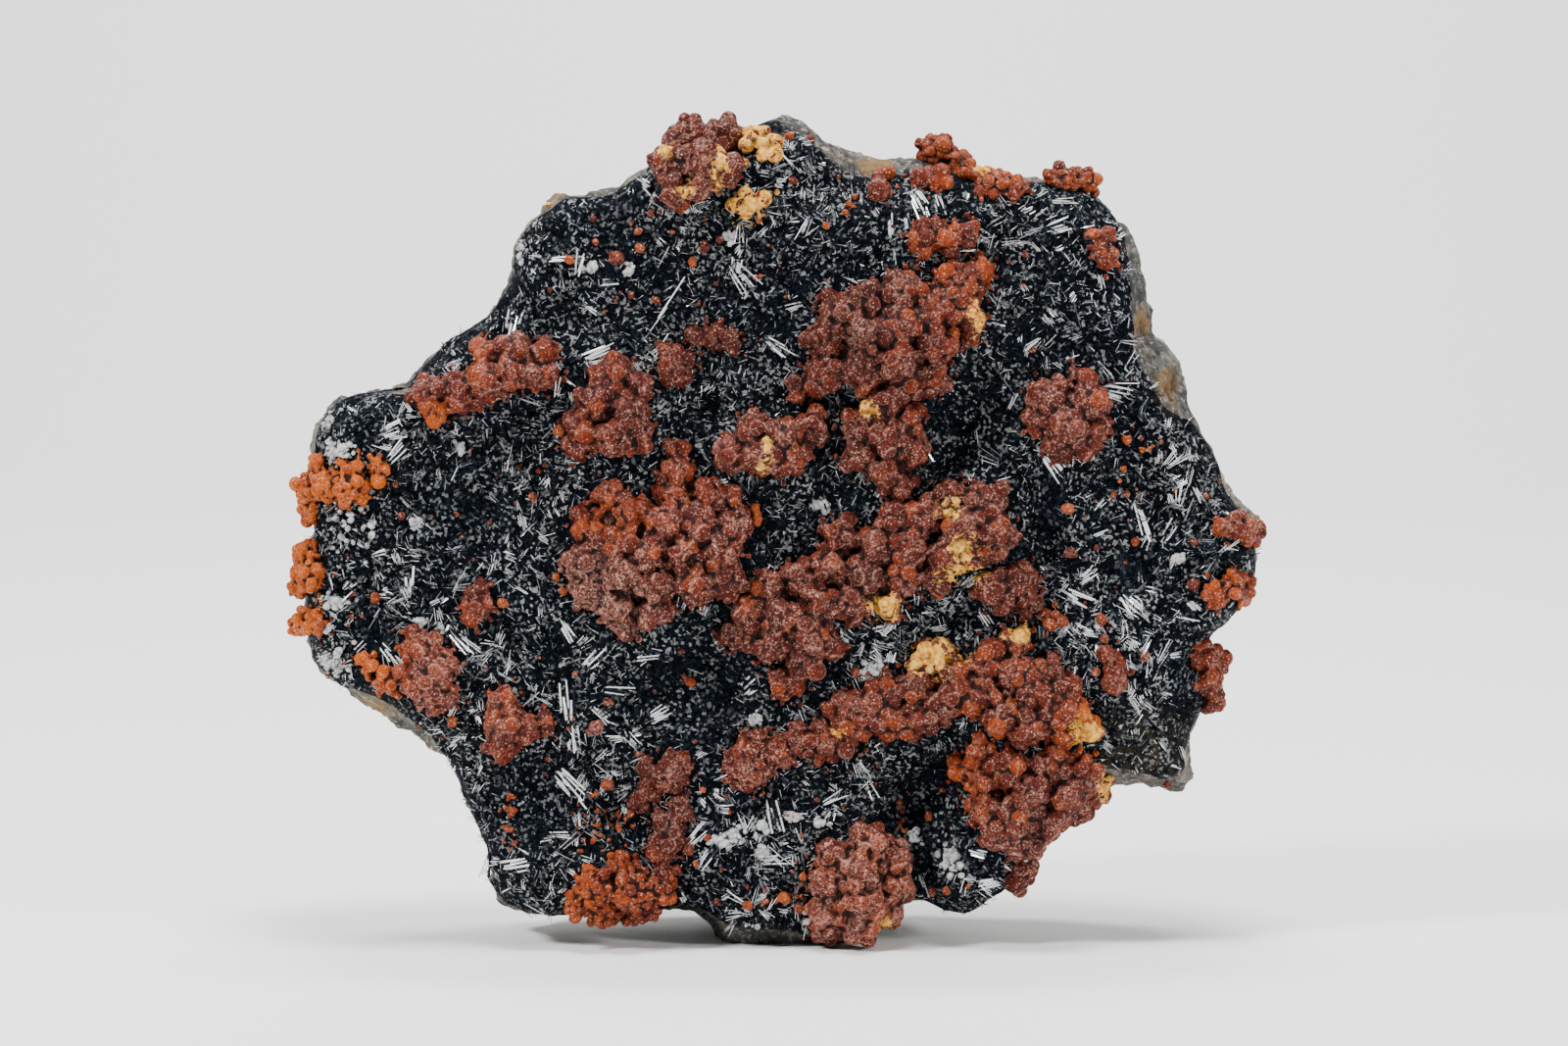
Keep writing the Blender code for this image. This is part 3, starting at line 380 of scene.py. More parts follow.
def bells(x: np.ndarray, z: np.ndarray, patches: Rows, steep: float = 2.0) -> np.ndarray:
    """The highest of several bells exp(-(d^2)^steep), d being the distance in each patch's own half widths.

    Args:
        x: Places across.
        z: Places up.
        patches: Middle x and z, and half widths along x and z.
        steep: How steep the bells' flanks are.

    Returns:
        One value from 0 to 1 for each place.
    """
    rows = np.array(patches, dtype=float)
    rows[:, 0] += MEASURE_SHIFT
    away = ((x[:, None] - rows[:, 0]) / rows[:, 2]) ** 2 + ((z[:, None] - rows[:, 1]) / rows[:, 3]) ** 2
    return np.exp(-(away**steep)).max(axis=1)


class FaceMap:
    """Depth of the face over the plate's width and height, seen from the front."""

    def __init__(self, pieces: Sequence[bpy.types.Object], step: float = 0.35, even: int = 0) -> None:
        """Lays a flat net of points onto the pieces from the front.

        Args:
            pieces: Finished pieces that the net falls on.
            step: Distance between the net's points.
            even: Rounds of evening of the depth.
        """
        self.step = step
        self.low = np.array([-78.0, -1.0])
        self.size = (int(156.0 / step), int(132.0 / step))
        x = self.low[0] + step * np.arange(self.size[0])
        z = self.low[1] + step * np.arange(self.size[1])
        grid_x, grid_z = np.meshgrid(x, z, indexing="ij")
        start = -60.0
        net = np.stack([grid_x, np.full_like(grid_x, start), grid_z], axis=-1).reshape(-1, 3)
        dropped = self.drop(net, pieces)[:, 1].reshape(self.size)
        self.hit = dropped > start + 1.0
        self.firm = self.hit.copy()
        for axis, shift in ((0, 2), (0, -2), (1, 2), (1, -2)):
            self.firm &= np.roll(self.hit, shift, axis)
        self.field = self.filled(np.where(self.hit, dropped, np.nan), even)
        self.slope = np.clip(np.stack(np.gradient(self.field, step), axis=-1), -2.5, 2.5)

    @staticmethod
    def drop(net: np.ndarray, pieces: Sequence[bpy.types.Object]) -> np.ndarray:
        """Moves the net's points along +Y until they meet the pieces.

        Args:
            net: Points in front of the pieces.
            pieces: Finished pieces.

        Returns:
            The points where they come to rest; those that meet nothing stay.
        """
        target = bpy.data.objects.new("target", bpy.data.meshes.new("target"))
        shape = bmesh.new()
        for piece in pieces:
            shape.from_mesh(piece.data)
        shape.to_mesh(target.data)
        shape.free()
        bpy.context.scene.collection.objects.link(target)
        cloth = make_piece("net", Skin(net, np.array([[0, 1, 2]])))
        wrap = cloth.modifiers.new("drop", "SHRINKWRAP")
        wrap.wrap_method = "PROJECT"
        wrap.use_project_y = True
        wrap.use_positive_direction = True
        wrap.use_negative_direction = False
        wrap.target = target
        points, _ = evaluated(cloth)
        remove_piece(cloth)
        remove_piece(target)
        return points

    @staticmethod
    def filled(depth: np.ndarray, even: int) -> np.ndarray:
        """Spreads the depth into the empty surroundings and evens it, each cell the mean of its neighbours.

        Args:
            depth: Depth of each cell, not a number where the net met nothing.
            even: Rounds of evening.

        Returns:
            Depth of each cell without gaps.
        """
        for _ in range(24):
            gap = np.isnan(depth)
            around = np.stack([np.roll(depth, shift, axis) for axis in (0, 1) for shift in (1, -1)])
            some = ~np.isnan(around).all(axis=0)
            number = np.maximum((~np.isnan(around)).sum(axis=0), 1)
            mean = np.where(some, np.nansum(around, axis=0) / number, np.nan)
            depth = np.where(gap, mean, depth)
        depth = np.where(np.isnan(depth), np.nanmax(depth), depth)
        for _ in range(even):
            around = [np.roll(depth, shift, axis) for axis in (0, 1) for shift in (1, -1)]
            depth = 0.5 * depth + 0.125 * sum(around)
        return depth

    def cells(self, x: np.ndarray, z: np.ndarray) -> tuple[np.ndarray, np.ndarray]:
        """Finds the nearest cell of each place.

        Args:
            x: Places across.
            z: Places up.

        Returns:
            The cells' rows and columns.
        """
        i = np.clip(np.rint((x - self.low[0]) / self.step).astype(int), 0, self.size[0] - 1)
        k = np.clip(np.rint((z - self.low[1]) / self.step).astype(int), 0, self.size[1] - 1)
        return i, k

    def depth(self, x: np.ndarray, z: np.ndarray) -> np.ndarray:
        """Depth at each place: the cell's depth plus its slope times the offset in the cell.

        Args:
            x: Places across.
            z: Places up.

        Returns:
            One depth for each place.
        """
        i, k = self.cells(x, z)
        off_x = x - (self.low[0] + self.step * i)
        off_z = z - (self.low[1] + self.step * k)
        return self.field[i, k] + self.slope[i, k, 0] * off_x + self.slope[i, k, 1] * off_z

    def slopes(self, x: np.ndarray, z: np.ndarray) -> np.ndarray:
        """Slope of the depth along x and z at each place."""
        return self.slope[self.cells(x, z)]

    def covers(self, x: np.ndarray, z: np.ndarray) -> np.ndarray:
        """Whether anything lies behind each place."""
        return self.hit[self.cells(x, z)]

    def carries(self, x: np.ndarray, z: np.ndarray) -> np.ndarray:
        """Whether each place lies two cells or more inside the rim."""
        return self.firm[self.cells(x, z)]


class Wire:
    """A shader socket that takes part in arithmetic; each operator adds one Math node."""

    def __init__(self, tree: Tree, socket: bpy.types.NodeSocket) -> None:
        """Keeps the tree and the output socket."""
        self.tree = tree
        self.socket = socket

    def __add__(self, other: Wire | float) -> Wire:
        """Sum."""
        return self.tree.math("ADD", self, other)

    def __radd__(self, other: float) -> Wire:
        """Sum with a number in front."""
        return self.tree.math("ADD", other, self)

    def __sub__(self, other: Wire | float) -> Wire:
        """Difference."""
        return self.tree.math("SUBTRACT", self, other)

    def __rsub__(self, other: float) -> Wire:
        """Difference from a number."""
        return self.tree.math("SUBTRACT", other, self)

    def __mul__(self, other: Wire | float) -> Wire:
        """Product."""
        return self.tree.math("MULTIPLY", self, other)

    def __rmul__(self, other: float) -> Wire:
        """Product with a number in front."""
        return self.tree.math("MULTIPLY", other, self)

    def clipped(self) -> Wire:
        """The value held between 0 and 1."""
        return self.tree.node("ShaderNodeClamp", {}, {"Value": self})

    def above(self, start: float, width: float) -> Wire:
        """Rises from 0 at start to 1 over a width."""
        return ((self - start) * (1.0 / width)).clipped()


class Tree:
    """A material and its nodes."""

    def __init__(self, name: str) -> None:
        """Makes a material with a Principled shader.

        Args:
            name: The material's name.
        """
        self.material = bpy.data.materials.new(name)
        self.material.use_nodes = True
        self.nodes = self.material.node_tree.nodes
        self.links = self.material.node_tree.links
        self.surface = self.nodes["Principled BSDF"]
        self.place = self.node("ShaderNodeTexCoord", {}, {}, "Object")

    def feed(self, socket: bpy.types.NodeSocket, value: Wire | float | Sequence[float]) -> None:
        """Links a wire to a socket, or sets the socket's own value.

        Args:
            socket: An input of any node.
            value: A wire, number or colour.
        """
        if isinstance(value, Wire):
            self.links.new(value.socket, socket)
        else:
            socket.default_value = value

    def node(self, kind: str, settings: dict, inputs: dict, output: str | int = 0) -> Wire:
        """Adds any node.

        Args:
            kind: The node's type.
            settings: Values of its properties, set first.
            inputs: Values or wires of its sockets.
            output: Which of its outputs to return.

        Returns:
            The chosen output.
        """
        made = self.nodes.new(kind)
        for key, value in settings.items():
            setattr(made, key, value)
        for key, value in inputs.items():
            self.feed(made.inputs[key], value)
        return Wire(self, made.outputs[output])

    def math(self, operation: str, first: Wire | float, second: Wire | float) -> Wire:
        """One Math node."""
        return self.node("ShaderNodeMath", {"operation": operation}, {0: first, 1: second})

    def mix(self, share: Wire | float, first: Wire | Colour, second: Wire | Colour) -> Wire:
        """Mixes two colours; the share is that of the second."""
        return self.node("ShaderNodeMix", {"data_type": "RGBA"}, {0: share, 6: first, 7: second}, 2)

    def trait(self, name: str) -> Wire:
        """A value stored on the mesh's points."""
        return self.node("ShaderNodeAttribute", {"attribute_name": name}, {}, "Fac")

    def noise(self, grain: float, detail: float = 2.0, rough: float = 0.5) -> Wire:
        """Noise with grains of a size in millimetres, about 0.2 to 0.8."""
        inputs = {"Vector": self.place, "Scale": 1.0 / (grain * MM), "Detail": detail, "Roughness": rough}
        return self.node("ShaderNodeTexNoise", {}, inputs, "Fac")

    def facets(self, grain: float, output: str = "Color") -> Wire:
        """Cells of a size in millimetres, each with its own value, or the distance inside the cell."""
        inputs = {"Vector": self.place, "Scale": 1.0 / (grain * MM)}
        return self.node("ShaderNodeTexVoronoi", {}, inputs, output)

    def bump(self, height: Wire, rise: float, strength: float = 1.0, under: Wire | None = None) -> Wire:
        """Normals of a low relief.

        Args:
            height: The relief, 0 to 1.
            rise: Its height in millimetres.
            strength: How much of it shows.
            under: Normals that it lies on.

        Returns:
            The normals.
        """
        inputs = {"Height": height, "Distance": rise * MM, "Strength": strength}
        if under is not None:
            inputs["Normal"] = under
        return self.node("ShaderNodeBump", {}, inputs, "Normal")

    def finish(self, **inputs: Wire | float | Sequence[float]) -> bpy.types.Material:
        """Feeds the shader's sockets.

        Args:
            inputs: Values or wires by socket name, with underscores for spaces.

        Returns:
            The finished material.
        """
        for key, value in inputs.items():
            self.feed(self.surface.inputs[key.replace("_", " ")], value)
        return self.material


@dataclass(frozen=True)
class OrpimentFinish:
    """Finely crystalline orpiment: red-brown to orange, frosted, with a painted sheen on each spherule's
    flanks, painted glints and painted shade in the creases.
    """

    name: str
    # Near black: dark grains, and painted shade in the creases
    shade: Colour = (0.0040, 0.0008, 0.0006, 1.0)
    brown: Colour = (0.020, 0.0038, 0.0018, 1.0)
    red: Colour = (0.066, 0.0052, 0.0020, 1.0)
    orange: Colour = (0.275, 0.039, 0.0011, 1.0)
    amber: Colour = (0.390, 0.076, 0.0011, 1.0)
    # Pale frost, also the colour of the painted sheen on the spherules' flanks
    frost_and_sheen: Colour = (0.430, 0.205, 0.155, 1.0)
    # Pale pink of painted glints on tiny crystal faces
    painted_sparkle: Colour = (0.680, 0.400, 0.300, 1.0)
    ochre: Colour = (0.480, 0.190, 0.009, 1.0)
    straw: Colour = (0.740, 0.430, 0.105, 1.0)

    def make(self) -> bpy.types.Material:
        """Tone runs from brown by red and orange to amber, under painted crease shade, frost with a painted
        flank sheen, painted glints and ochre.

        Returns:
            The material.
        """
        tree = Tree(self.name)
        tone = tree.trait("tone") + (tree.noise(0.9, 3.0) - 0.5) * 0.7
        base = tree.mix((tone * 2.0).clipped(), self.brown, self.red)
        base = tree.mix((tone * 2.0 - 1.0).clipped(), base, self.orange)
        base = tree.mix((tone * 2.5 - 2.2).clipped(), base, self.amber)
        fine = tree.noise(0.30, 2.0, 0.6)
        grit = tree.facets(0.26)
        base = tree.mix(grit.above(0.46, -0.30) * 0.34, base, self.shade)
        # Frost and painted sheen: pale where the trait is high, which the growths raise in a ring on each
        # flank
        frost_and_sheen = (tree.trait("frost_and_sheen") * (grit.above(0.38, 0.20) * 1.2 + 0.05)).clipped()
        base = tree.mix(frost_and_sheen * 0.65, base, self.frost_and_sheen)
        # Painted glints: tiny cells painted pale pink and made glossier
        painted_sparkle = tree.facets(0.21).above(0.70, 0.10) * fine.above(0.46, 0.12)
        base = tree.mix(painted_sparkle * 0.65, base, self.painted_sparkle)
        # Painted shade: creases darkened towards near black
        crease_shade = tree.trait("crease_shade")
        base = tree.mix(crease_shade.above(0.10, 0.62) * 0.95, base, self.shade)
        crumb = tree.mix(tree.noise(0.7, 4.0).above(0.40, 0.2), self.ochre, self.straw)
        ochre = (tree.trait("ochre") + (tree.noise(1.2, 4.0, 0.7) - 0.5) * 3.4).above(0.42, 0.10)
        ochre = ochre * tree.trait("ochre").above(0.04, 0.1)
        base = tree.mix(ochre * (1.0 - crease_shade * 0.7), base, crumb)
        low = tree.bump(tree.facets(0.40, "Distance"), 0.09, 0.7)
        normal = tree.bump(fine, 0.09, 0.8, low)
        rough = (0.55 - painted_sparkle * 0.3 + ochre * 0.3).clipped()
        return tree.finish(Base_Color=base, Roughness=rough, Normal=normal, Specular_IOR_Level=0.12)


@dataclass(frozen=True)
class NeedleFinish:
    """Metallic needles, near black, with a painted highlight that runs by steel blue to silver."""

    name: str = "hutchinsonite_needles"
    black: Colour = (0.0006, 0.0010, 0.0018, 1.0)
    steel: Colour = (0.017, 0.024, 0.035, 1.0)
    # Silver colour of the painted highlights
    painted_glint: Colour = (0.870, 0.885, 0.900, 1.0)
    shine: float = 0.25

    def make(self) -> bpy.types.Material:
        """The painted highlight runs from black by steel blue to silver, with fine streaks of painted light
        and shade.

        Returns:
            The material.
        """
        tree = Tree(self.name)
        # Painted highlight of each needle: black, steel blue or silver as if it caught the light
        painted_glint = tree.trait("painted_glint") + (tree.noise(0.5, 2.0) - 0.5) * 0.22
        base = tree.mix((painted_glint * 2.0).clipped(), self.black, self.steel)
        bright = (painted_glint * 2.0 - 1.0).clipped()
        base = tree.mix(bright, base, self.painted_glint)
        rough = 0.36 - bright * 0.08
        return tree.finish(
            Base_Color=base, Metallic=bright * self.shine, Roughness=rough, Specular_IOR_Level=0.02)


@dataclass(frozen=True)
class CrustFinish:
    """The dark felt of the finest needles between the larger ones."""

    name: str = "hutchinsonite_felt"
    black: Colour = (0.0006, 0.0009, 0.0015, 1.0)
    blue: Colour = (0.0035, 0.0065, 0.0110, 1.0)
    steel: Colour = (0.022, 0.030, 0.040, 1.0)
    white: Colour = (0.340, 0.345, 0.350, 1.0)
    earth: Colour = (0.032, 0.026, 0.018, 1.0)

    def make(self) -> bpy.types.Material:
        """Blue-black felt with steel-blue and white flecks that gather in clouds, earthy where grit shows.

        Returns:
            The material.
        """
        tree = Tree(self.name)
        base = tree.mix(tree.noise(0.8, 4.0, 0.7).above(0.42, 0.25), self.black, self.blue)
        flake = tree.facets(0.36).above(0.56, 0.22)
        base = tree.mix(flake * 0.38, base, self.steel)
        grit = tree.trait("grit") * tree.noise(1.1, 4.0, 0.7).above(0.40, 0.2)
        base = tree.mix(grit, base, self.earth)
        cloud = tree.noise(5.0, 3.0).above(0.36, 0.3)
        fleck = tree.facets(0.44).above(0.70, 0.05) * cloud
        base = tree.mix(fleck * 0.8, base, self.white)
        normal = tree.bump(tree.noise(0.32, 3.0, 0.8), 0.35, 0.9)
        return tree.finish(Base_Color=base, Roughness=0.6, Normal=normal, Specular_IOR_Level=0.015)


@dataclass(frozen=True)
class RockFinish:
    """Broken grey and beige rock with ochre stains, dark seams, painted shade in its creases and glints of
    pyrite.
    """

    name: str = "broken_rock"
    grey: Colour = (0.055, 0.055, 0.053, 1.0)
    beige: Colour = (0.190, 0.168, 0.130, 1.0)
    pale: Colour = (0.480, 0.450, 0.400, 1.0)
    ochre: Colour = (0.240, 0.120, 0.022, 1.0)
    # Near black for dark grains and seams, and for painted shade in creases
    seam_and_shade: Colour = (0.014, 0.015, 0.018, 1.0)
    pyrite: Colour = (0.500, 0.410, 0.210, 1.0)

    def make(self) -> bpy.types.Material:
        """Broad clouds of grey and beige, crossed by finer grains, stains, seams and painted crease shade.

        Returns:
            The material.
        """
        tree = Tree(self.name)
        cloud = tree.noise(13.0, 6.0, 0.65)
        base = tree.mix(cloud.above(0.44, 0.14), self.grey, self.beige)
        fine = tree.noise(0.55, 3.0, 0.7)
        grains = tree.facets(0.75)
        base = tree.mix(grains.above(0.45, 0.4) * fine.above(0.42, 0.2) * 0.55, base, self.pale)
        base = tree.mix(grains.above(0.40, -0.25) * 0.55, base, self.seam_and_shade)
        chip = tree.noise(2.6, 5.0, 0.8).above(0.60, 0.06) * tree.noise(11.0, 2.0).above(0.48, 0.1)
        base = tree.mix(chip * 0.75, base, self.pale)
        stain = (tree.trait("ochre") + (tree.noise(3.0, 6.0, 0.8) - 0.47) * 2.4).above(0.48, 0.14)
        base = tree.mix(stain * 0.65, base, self.ochre)
        # Dark seams from noise, plus painted shade where the surface lies in a crease
        seam_and_shade = tree.noise(5.0, 7.0, 0.8).above(0.565, 0.05) + tree.trait("crease_shade") * 0.9
        base = tree.mix(seam_and_shade.clipped() * 0.8, base, self.seam_and_shade)
        glint = tree.facets(0.40).above(0.80, 0.04) * tree.noise(8.0, 2.0).above(0.55, 0.06)
        base = tree.mix(glint, base, self.pyrite)
        coarse = tree.bump(tree.noise(2.4, 7.0, 0.75), 1.3, 0.9)
        normal = tree.bump(fine, 0.22, 0.8, coarse)
        rough = (0.85 - glint * 0.45).clipped()
        return tree.finish(
            Base_Color=base, Metallic=glint * 0.8, Roughness=rough, Normal=normal, Specular_IOR_Level=0.25)


@dataclass(frozen=True)
class GrainFinish:
    """White and grey quartz-like grains."""

    name: str = "pale_grains"
    white: Colour = (0.500, 0.500, 0.495, 1.0)
    grey: Colour = (0.120, 0.125, 0.135, 1.0)
    blush: Colour = (0.420, 0.300, 0.260, 1.0)

    def make(self) -> bpy.types.Material:
        """Shade runs from white to grey, with a blush here and there.

        Returns:
            The material.
        """
        tree = Tree(self.name)
        base = tree.mix((tree.trait("shade") + (tree.noise(0.5, 3.0) - 0.5)).clipped(), self.white, self.grey)
        base = tree.mix(tree.noise(7.0, 2.0).above(0.56, 0.1) * 0.5, base, self.blush)
        normal = tree.bump(tree.noise(0.3, 3.0), 0.15, 0.7)
        return tree.finish(Base_Color=base, Roughness=0.42, Normal=normal)


@dataclass(frozen=True)
class FloorFinish:
    """Plain pale paper."""

    name: str = "pale_paper"
    colour: Colour = (0.90, 0.90, 0.895, 1.0)

    def make(self) -> bpy.types.Material:
        """Pale, with the faintest cloud.

        Returns:
            The material.
        """
        tree = Tree(self.name)
        base = tree.mix(tree.noise(160.0, 3.0) * 0.06, self.colour, (0.80, 0.80, 0.80, 1.0))
        return tree.finish(Base_Color=base, Roughness=0.75)


def settle(piece: bpy.types.Object, slot: Slot, material: bpy.types.Material, *nodes: str) -> None:
    """Dresses a piece, lets it ride on the body and hides the solids of the frame that it stands for.

    Args:
        piece: The finished piece.
        slot: The record's slot; not used.
        material: Its material.
        nodes: Solids of the frame that it replaces.
    """
    piece.data.materials.append(material)
    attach(piece, BODY)
    if nodes:
        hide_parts(*nodes)
    log.info("%s: %d faces", piece.name, len(piece.data.polygons))


# Ochre stains on the bare rock: x, z and half widths
ROCK_OCHRE = (
    (-34.7, 115.7, 2.0, 2.0), (55.5, 95.5, 2.2, 3.5), (59.5, 85.5, 2.6, 3.6), (55.0, 30.0, 6.0, 5.0),
    (73.0, 64.5, 3.0, 3.0), (14.0, 119.5, 4.0, 2.0), (-63.0, 36.0, 5.0, 3.0),
)


@dataclass
class RockPlate:
    """The broken plate that carries everything."""

    node: str = "matrix"
    cell: float = 0.80
    rise: float = 1.05
    even: int = 3
    lump_cell: float = 9.0
    ridge_cell: float = 4.2
    crumb_cell: float = 1.7
    break_cell: float = 15.0
    breaks: float = 2.6

    def build(self, noise: Lattice) -> bpy.types.Object:
        """Roughens the solid: evened squares move along their normals by noise, 1 - |n| for its ridges.

        The bare back and sides also break in steps: coarse noise is cut to thirds with short ramps between.

        Args:
            noise: The noise to read.

        Returns:
            The piece.
        """
        skin = fused([node_skin(self.node)], self.cell)
        skin.points = skin.relaxed(skin.points, self.even)
        normals = skin.normals()
        lumps = noise.layers(skin.points, self.lump_cell, 2)
        ridges = 1.0 - np.abs(noise.layers(skin.points + 40.0, self.ridge_cell, 3)) * 2.0
        crumbs = noise.layers(skin.points + 90.0, self.crumb_cell, 2)
        steps = noise.layers(skin.points + 150.0, self.break_cell, 2) * 3.0
        steps = (np.floor(steps) + np.clip((steps - np.floor(steps)) * 5.0, 0.0, 1.0)) / 3.0
        bare = np.clip(normals[:, 1] * 1.5 + 0.6, 0.0, 1.0)
        move = self.rise * (0.5 * lumps + 0.45 * ridges + 0.30 * crumbs - 0.55)
        move += self.breaks * bare * (steps - 0.35)
        standing = np.clip(skin.points[:, 2] / 2.5, 0.0, 1.0)
        skin.points += normals * (move * standing)[:, None]
        skin.points[:, 2] = np.maximum(skin.points[:, 2], 0.0)
        foot = (normals[:, 2] < -0.7) & (skin.points[:, 2] < 0.6)
        skin.points[foot, 2] = 0.0
        x = skin.points[:, 0]
        z = skin.points[:, 2]
        front = np.clip((4.0 - skin.points[:, 1]) / 8.0, 0.0, 1.0)
        # Crease depth, which the rock's finish paints as shade
        traits = {"ochre": bells(x, z, ROCK_OCHRE, 1.0) * front * 0.7, "crease_shade": skin.hollows(4, 0.35)}
        return make_piece(self.node + "_rock", skin, traits)

    def dress(self, piece: bpy.types.Object, material: bpy.types.Material) -> None:
        """Gives the plate its rock finish."""
        settle(piece, Slot.ROCK, material, self.node)


@dataclass
class NeedleCrust:
    """The felt under the needles."""

    node: str = "hutchinsonite_crust"
    cell: float = 0.70
    even: int = 9
    rise: float = 0.55
    lump_cell: float = 3.4

    def build(self, noise: Lattice) -> bpy.types.Object:
        """Evens the solid's flats and roughens its front with noise in three sizes.

        Args:
            noise: The noise to read.

        Returns:
            The piece.
        """
        skin = fused([node_skin(self.node)], self.cell)
        skin.points = skin.relaxed(skin.points, self.even)
        normals = skin.normals()
        front = np.clip(0.4 - normals[:, 1], 0.0, 1.0)
        move = noise.layers(skin.points + 11.0, self.lump_cell, 3) * self.rise
        skin.points += normals * (move * front)[:, None]
        grit = bells(skin.points[:, 0], skin.points[:, 2], GRITS)
        return make_piece(self.node + "_felt", skin, {"grit": grit})

    def dress(self, piece: bpy.types.Object, material: bpy.types.Material) -> None:
        """Gives the crust its felt finish."""
        settle(piece, Slot.NEEDLES, material, self.node)


# Zones of colour on the orpiment: x, z, reach, tone, and frost with its painted sheen
TONES = (
    (-28.5, 56.0, 6.5, 0.30, 1.15), (-25.5, 66.5, 5.5, 0.72, 0.30), (-8.0, 62.0, 6.0, 0.50, 0.75),
    (-14.0, 57.0, 5.0, 0.48, 0.70), (-16.0, 70.0, 5.0, 0.62, 0.45), (28.0, 66.0, 7.0, 0.44, 0.55),
    (12.0, 57.0, 7.0, 0.45, 0.62), (0.0, 46.0, 7.0, 0.46, 0.60), (14.0, 37.0, 6.0, 0.60, 0.30),
    (24.0, 38.0, 6.0, 0.52, 0.45), (36.0, 38.0, 7.0, 0.56, 0.45), (46.0, 34.0, 3.5, 0.95, 0.10),
    (29.5, 27.0, 5.0, 0.86, 0.25), (38.0, 24.0, 6.0, 0.44, 0.45), (46.0, 24.0, 4.0, 0.55, 0.40),
    (36.0, 15.0, 6.0, 0.52, 0.95), (12.0, 9.0, 9.0, 0.56, 0.95), (-31.0, 8.0, 5.0, 0.92, 0.10),
    (-21.0, 9.0, 5.0, 0.66, 0.20), (-16.0, 18.0, 5.0, 0.36, 0.60), (-72.0, 69.0, 8.0, 1.12, 0.12),
    (-73.0, 57.0, 6.0, 1.08, 0.10), (-60.5, 43.0, 4.0, 1.05, 0.10), (-73.0, 49.0, 4.0, 1.18, 0.08),
    (28.0, 119.0, 7.0, 0.74, 0.20), (35.0, 115.0, 4.0, 0.62, 0.30), (44.0, 116.5, 5.0, 0.70, 0.30),
    (8.0, 91.0, 7.0, 0.36, 0.40), (18.0, 95.0, 6.0, 0.44, 0.50), (28.0, 99.0, 6.0, 0.60, 0.30),
    (25.0, 108.0, 5.0, 0.66, 0.25), (-53.5, 43.0, 6.0, 0.56, 0.95), (-25.0, 82.0, 8.0, 0.46, 0.50),
    (-52.2, 81.4, 2.8, 1.02, 0.10), (-43.0, 88.0, 6.0, 0.50, 0.60), (-53.0, 87.0, 4.0, 0.50, 0.50),
    (-46.5, 92.0, 2.5, 0.90, 0.10), (-36.5, 84.0, 4.0, 0.62, 0.40), (-16.5, 89.0, 4.0, 0.30, 0.40),
    (-10.0, 93.0, 4.0, 0.42, 0.40), (-12.0, 120.0, 8.0, 0.42, 0.62), (15.0, 77.0, 7.0, 0.42, 0.60),
    (43.0, 81.0, 7.0, 0.45, 0.55), (0.0, 77.0, 7.0, 0.48, 0.60), (34.0, 55.0, 5.0, 0.44, 0.55),
    (-41.0, 34.0, 6.0, 0.58, 0.55), (-17.0, 27.0, 4.0, 0.38, 0.50), (0.0, 30.0, 8.0, 0.50, 0.70),
    (-46.0, 52.5, 3.0, 0.50, 0.60), (70.0, 64.0, 4.0, 0.60, 0.45), (68.0, 55.0, 4.0, 0.72, 0.30),
    (66.0, 41.0, 6.0, 0.62, 0.35), (36.5, 11.0, 3.0, 0.55, 0.60), (50.5, 43.5, 3.0, 0.55, 0.50),
    (49.0, 106.5, 3.0, 0.62, 0.40),
)

# Powdery yellow patches: x, z and half widths
OCHRES = (
    (27.2, 61.6, 1.9, 2.3), (27.4, 57.6, 3.4, 1.5), (25.5, 67.5, 1.4, 1.3), (15.6, 52.8, 2.4, 1.7),
    (22.4, 44.8, 3.8, 2.3), (28.3, 45.0, 1.0, 0.9), (36.0, 48.2, 2.2, 1.4), (46.2, 33.6, 2.2, 2.4),
    (49.4, 25.0, 1.4, 2.2), (-9.3, 118.8, 1.1, 2.8), (-17.5, 121.6, 1.0, 0.9), (-14.5, 115.3, 1.3, 1.0),
    (-3.2, 122.6, 3.2, 2.6), (-4.6, 113.8, 3.0, 1.6), (30.5, 118.6, 1.0, 0.9), (13.2, 82.4, 1.2, 1.4),
    (-2.0, 76.8, 0.7, 2.2), (-2.7, 73.8, 0.8, 0.8), (8.8, 33.5, 0.9, 0.8), (-75.0, 69.0, 0.8, 0.8),
    (29.4, 96.5, 0.8, 2.4), (16.0, 3.6, 1.6, 1.0), (-34.8, 114.8, 2.4, 1.8),
)


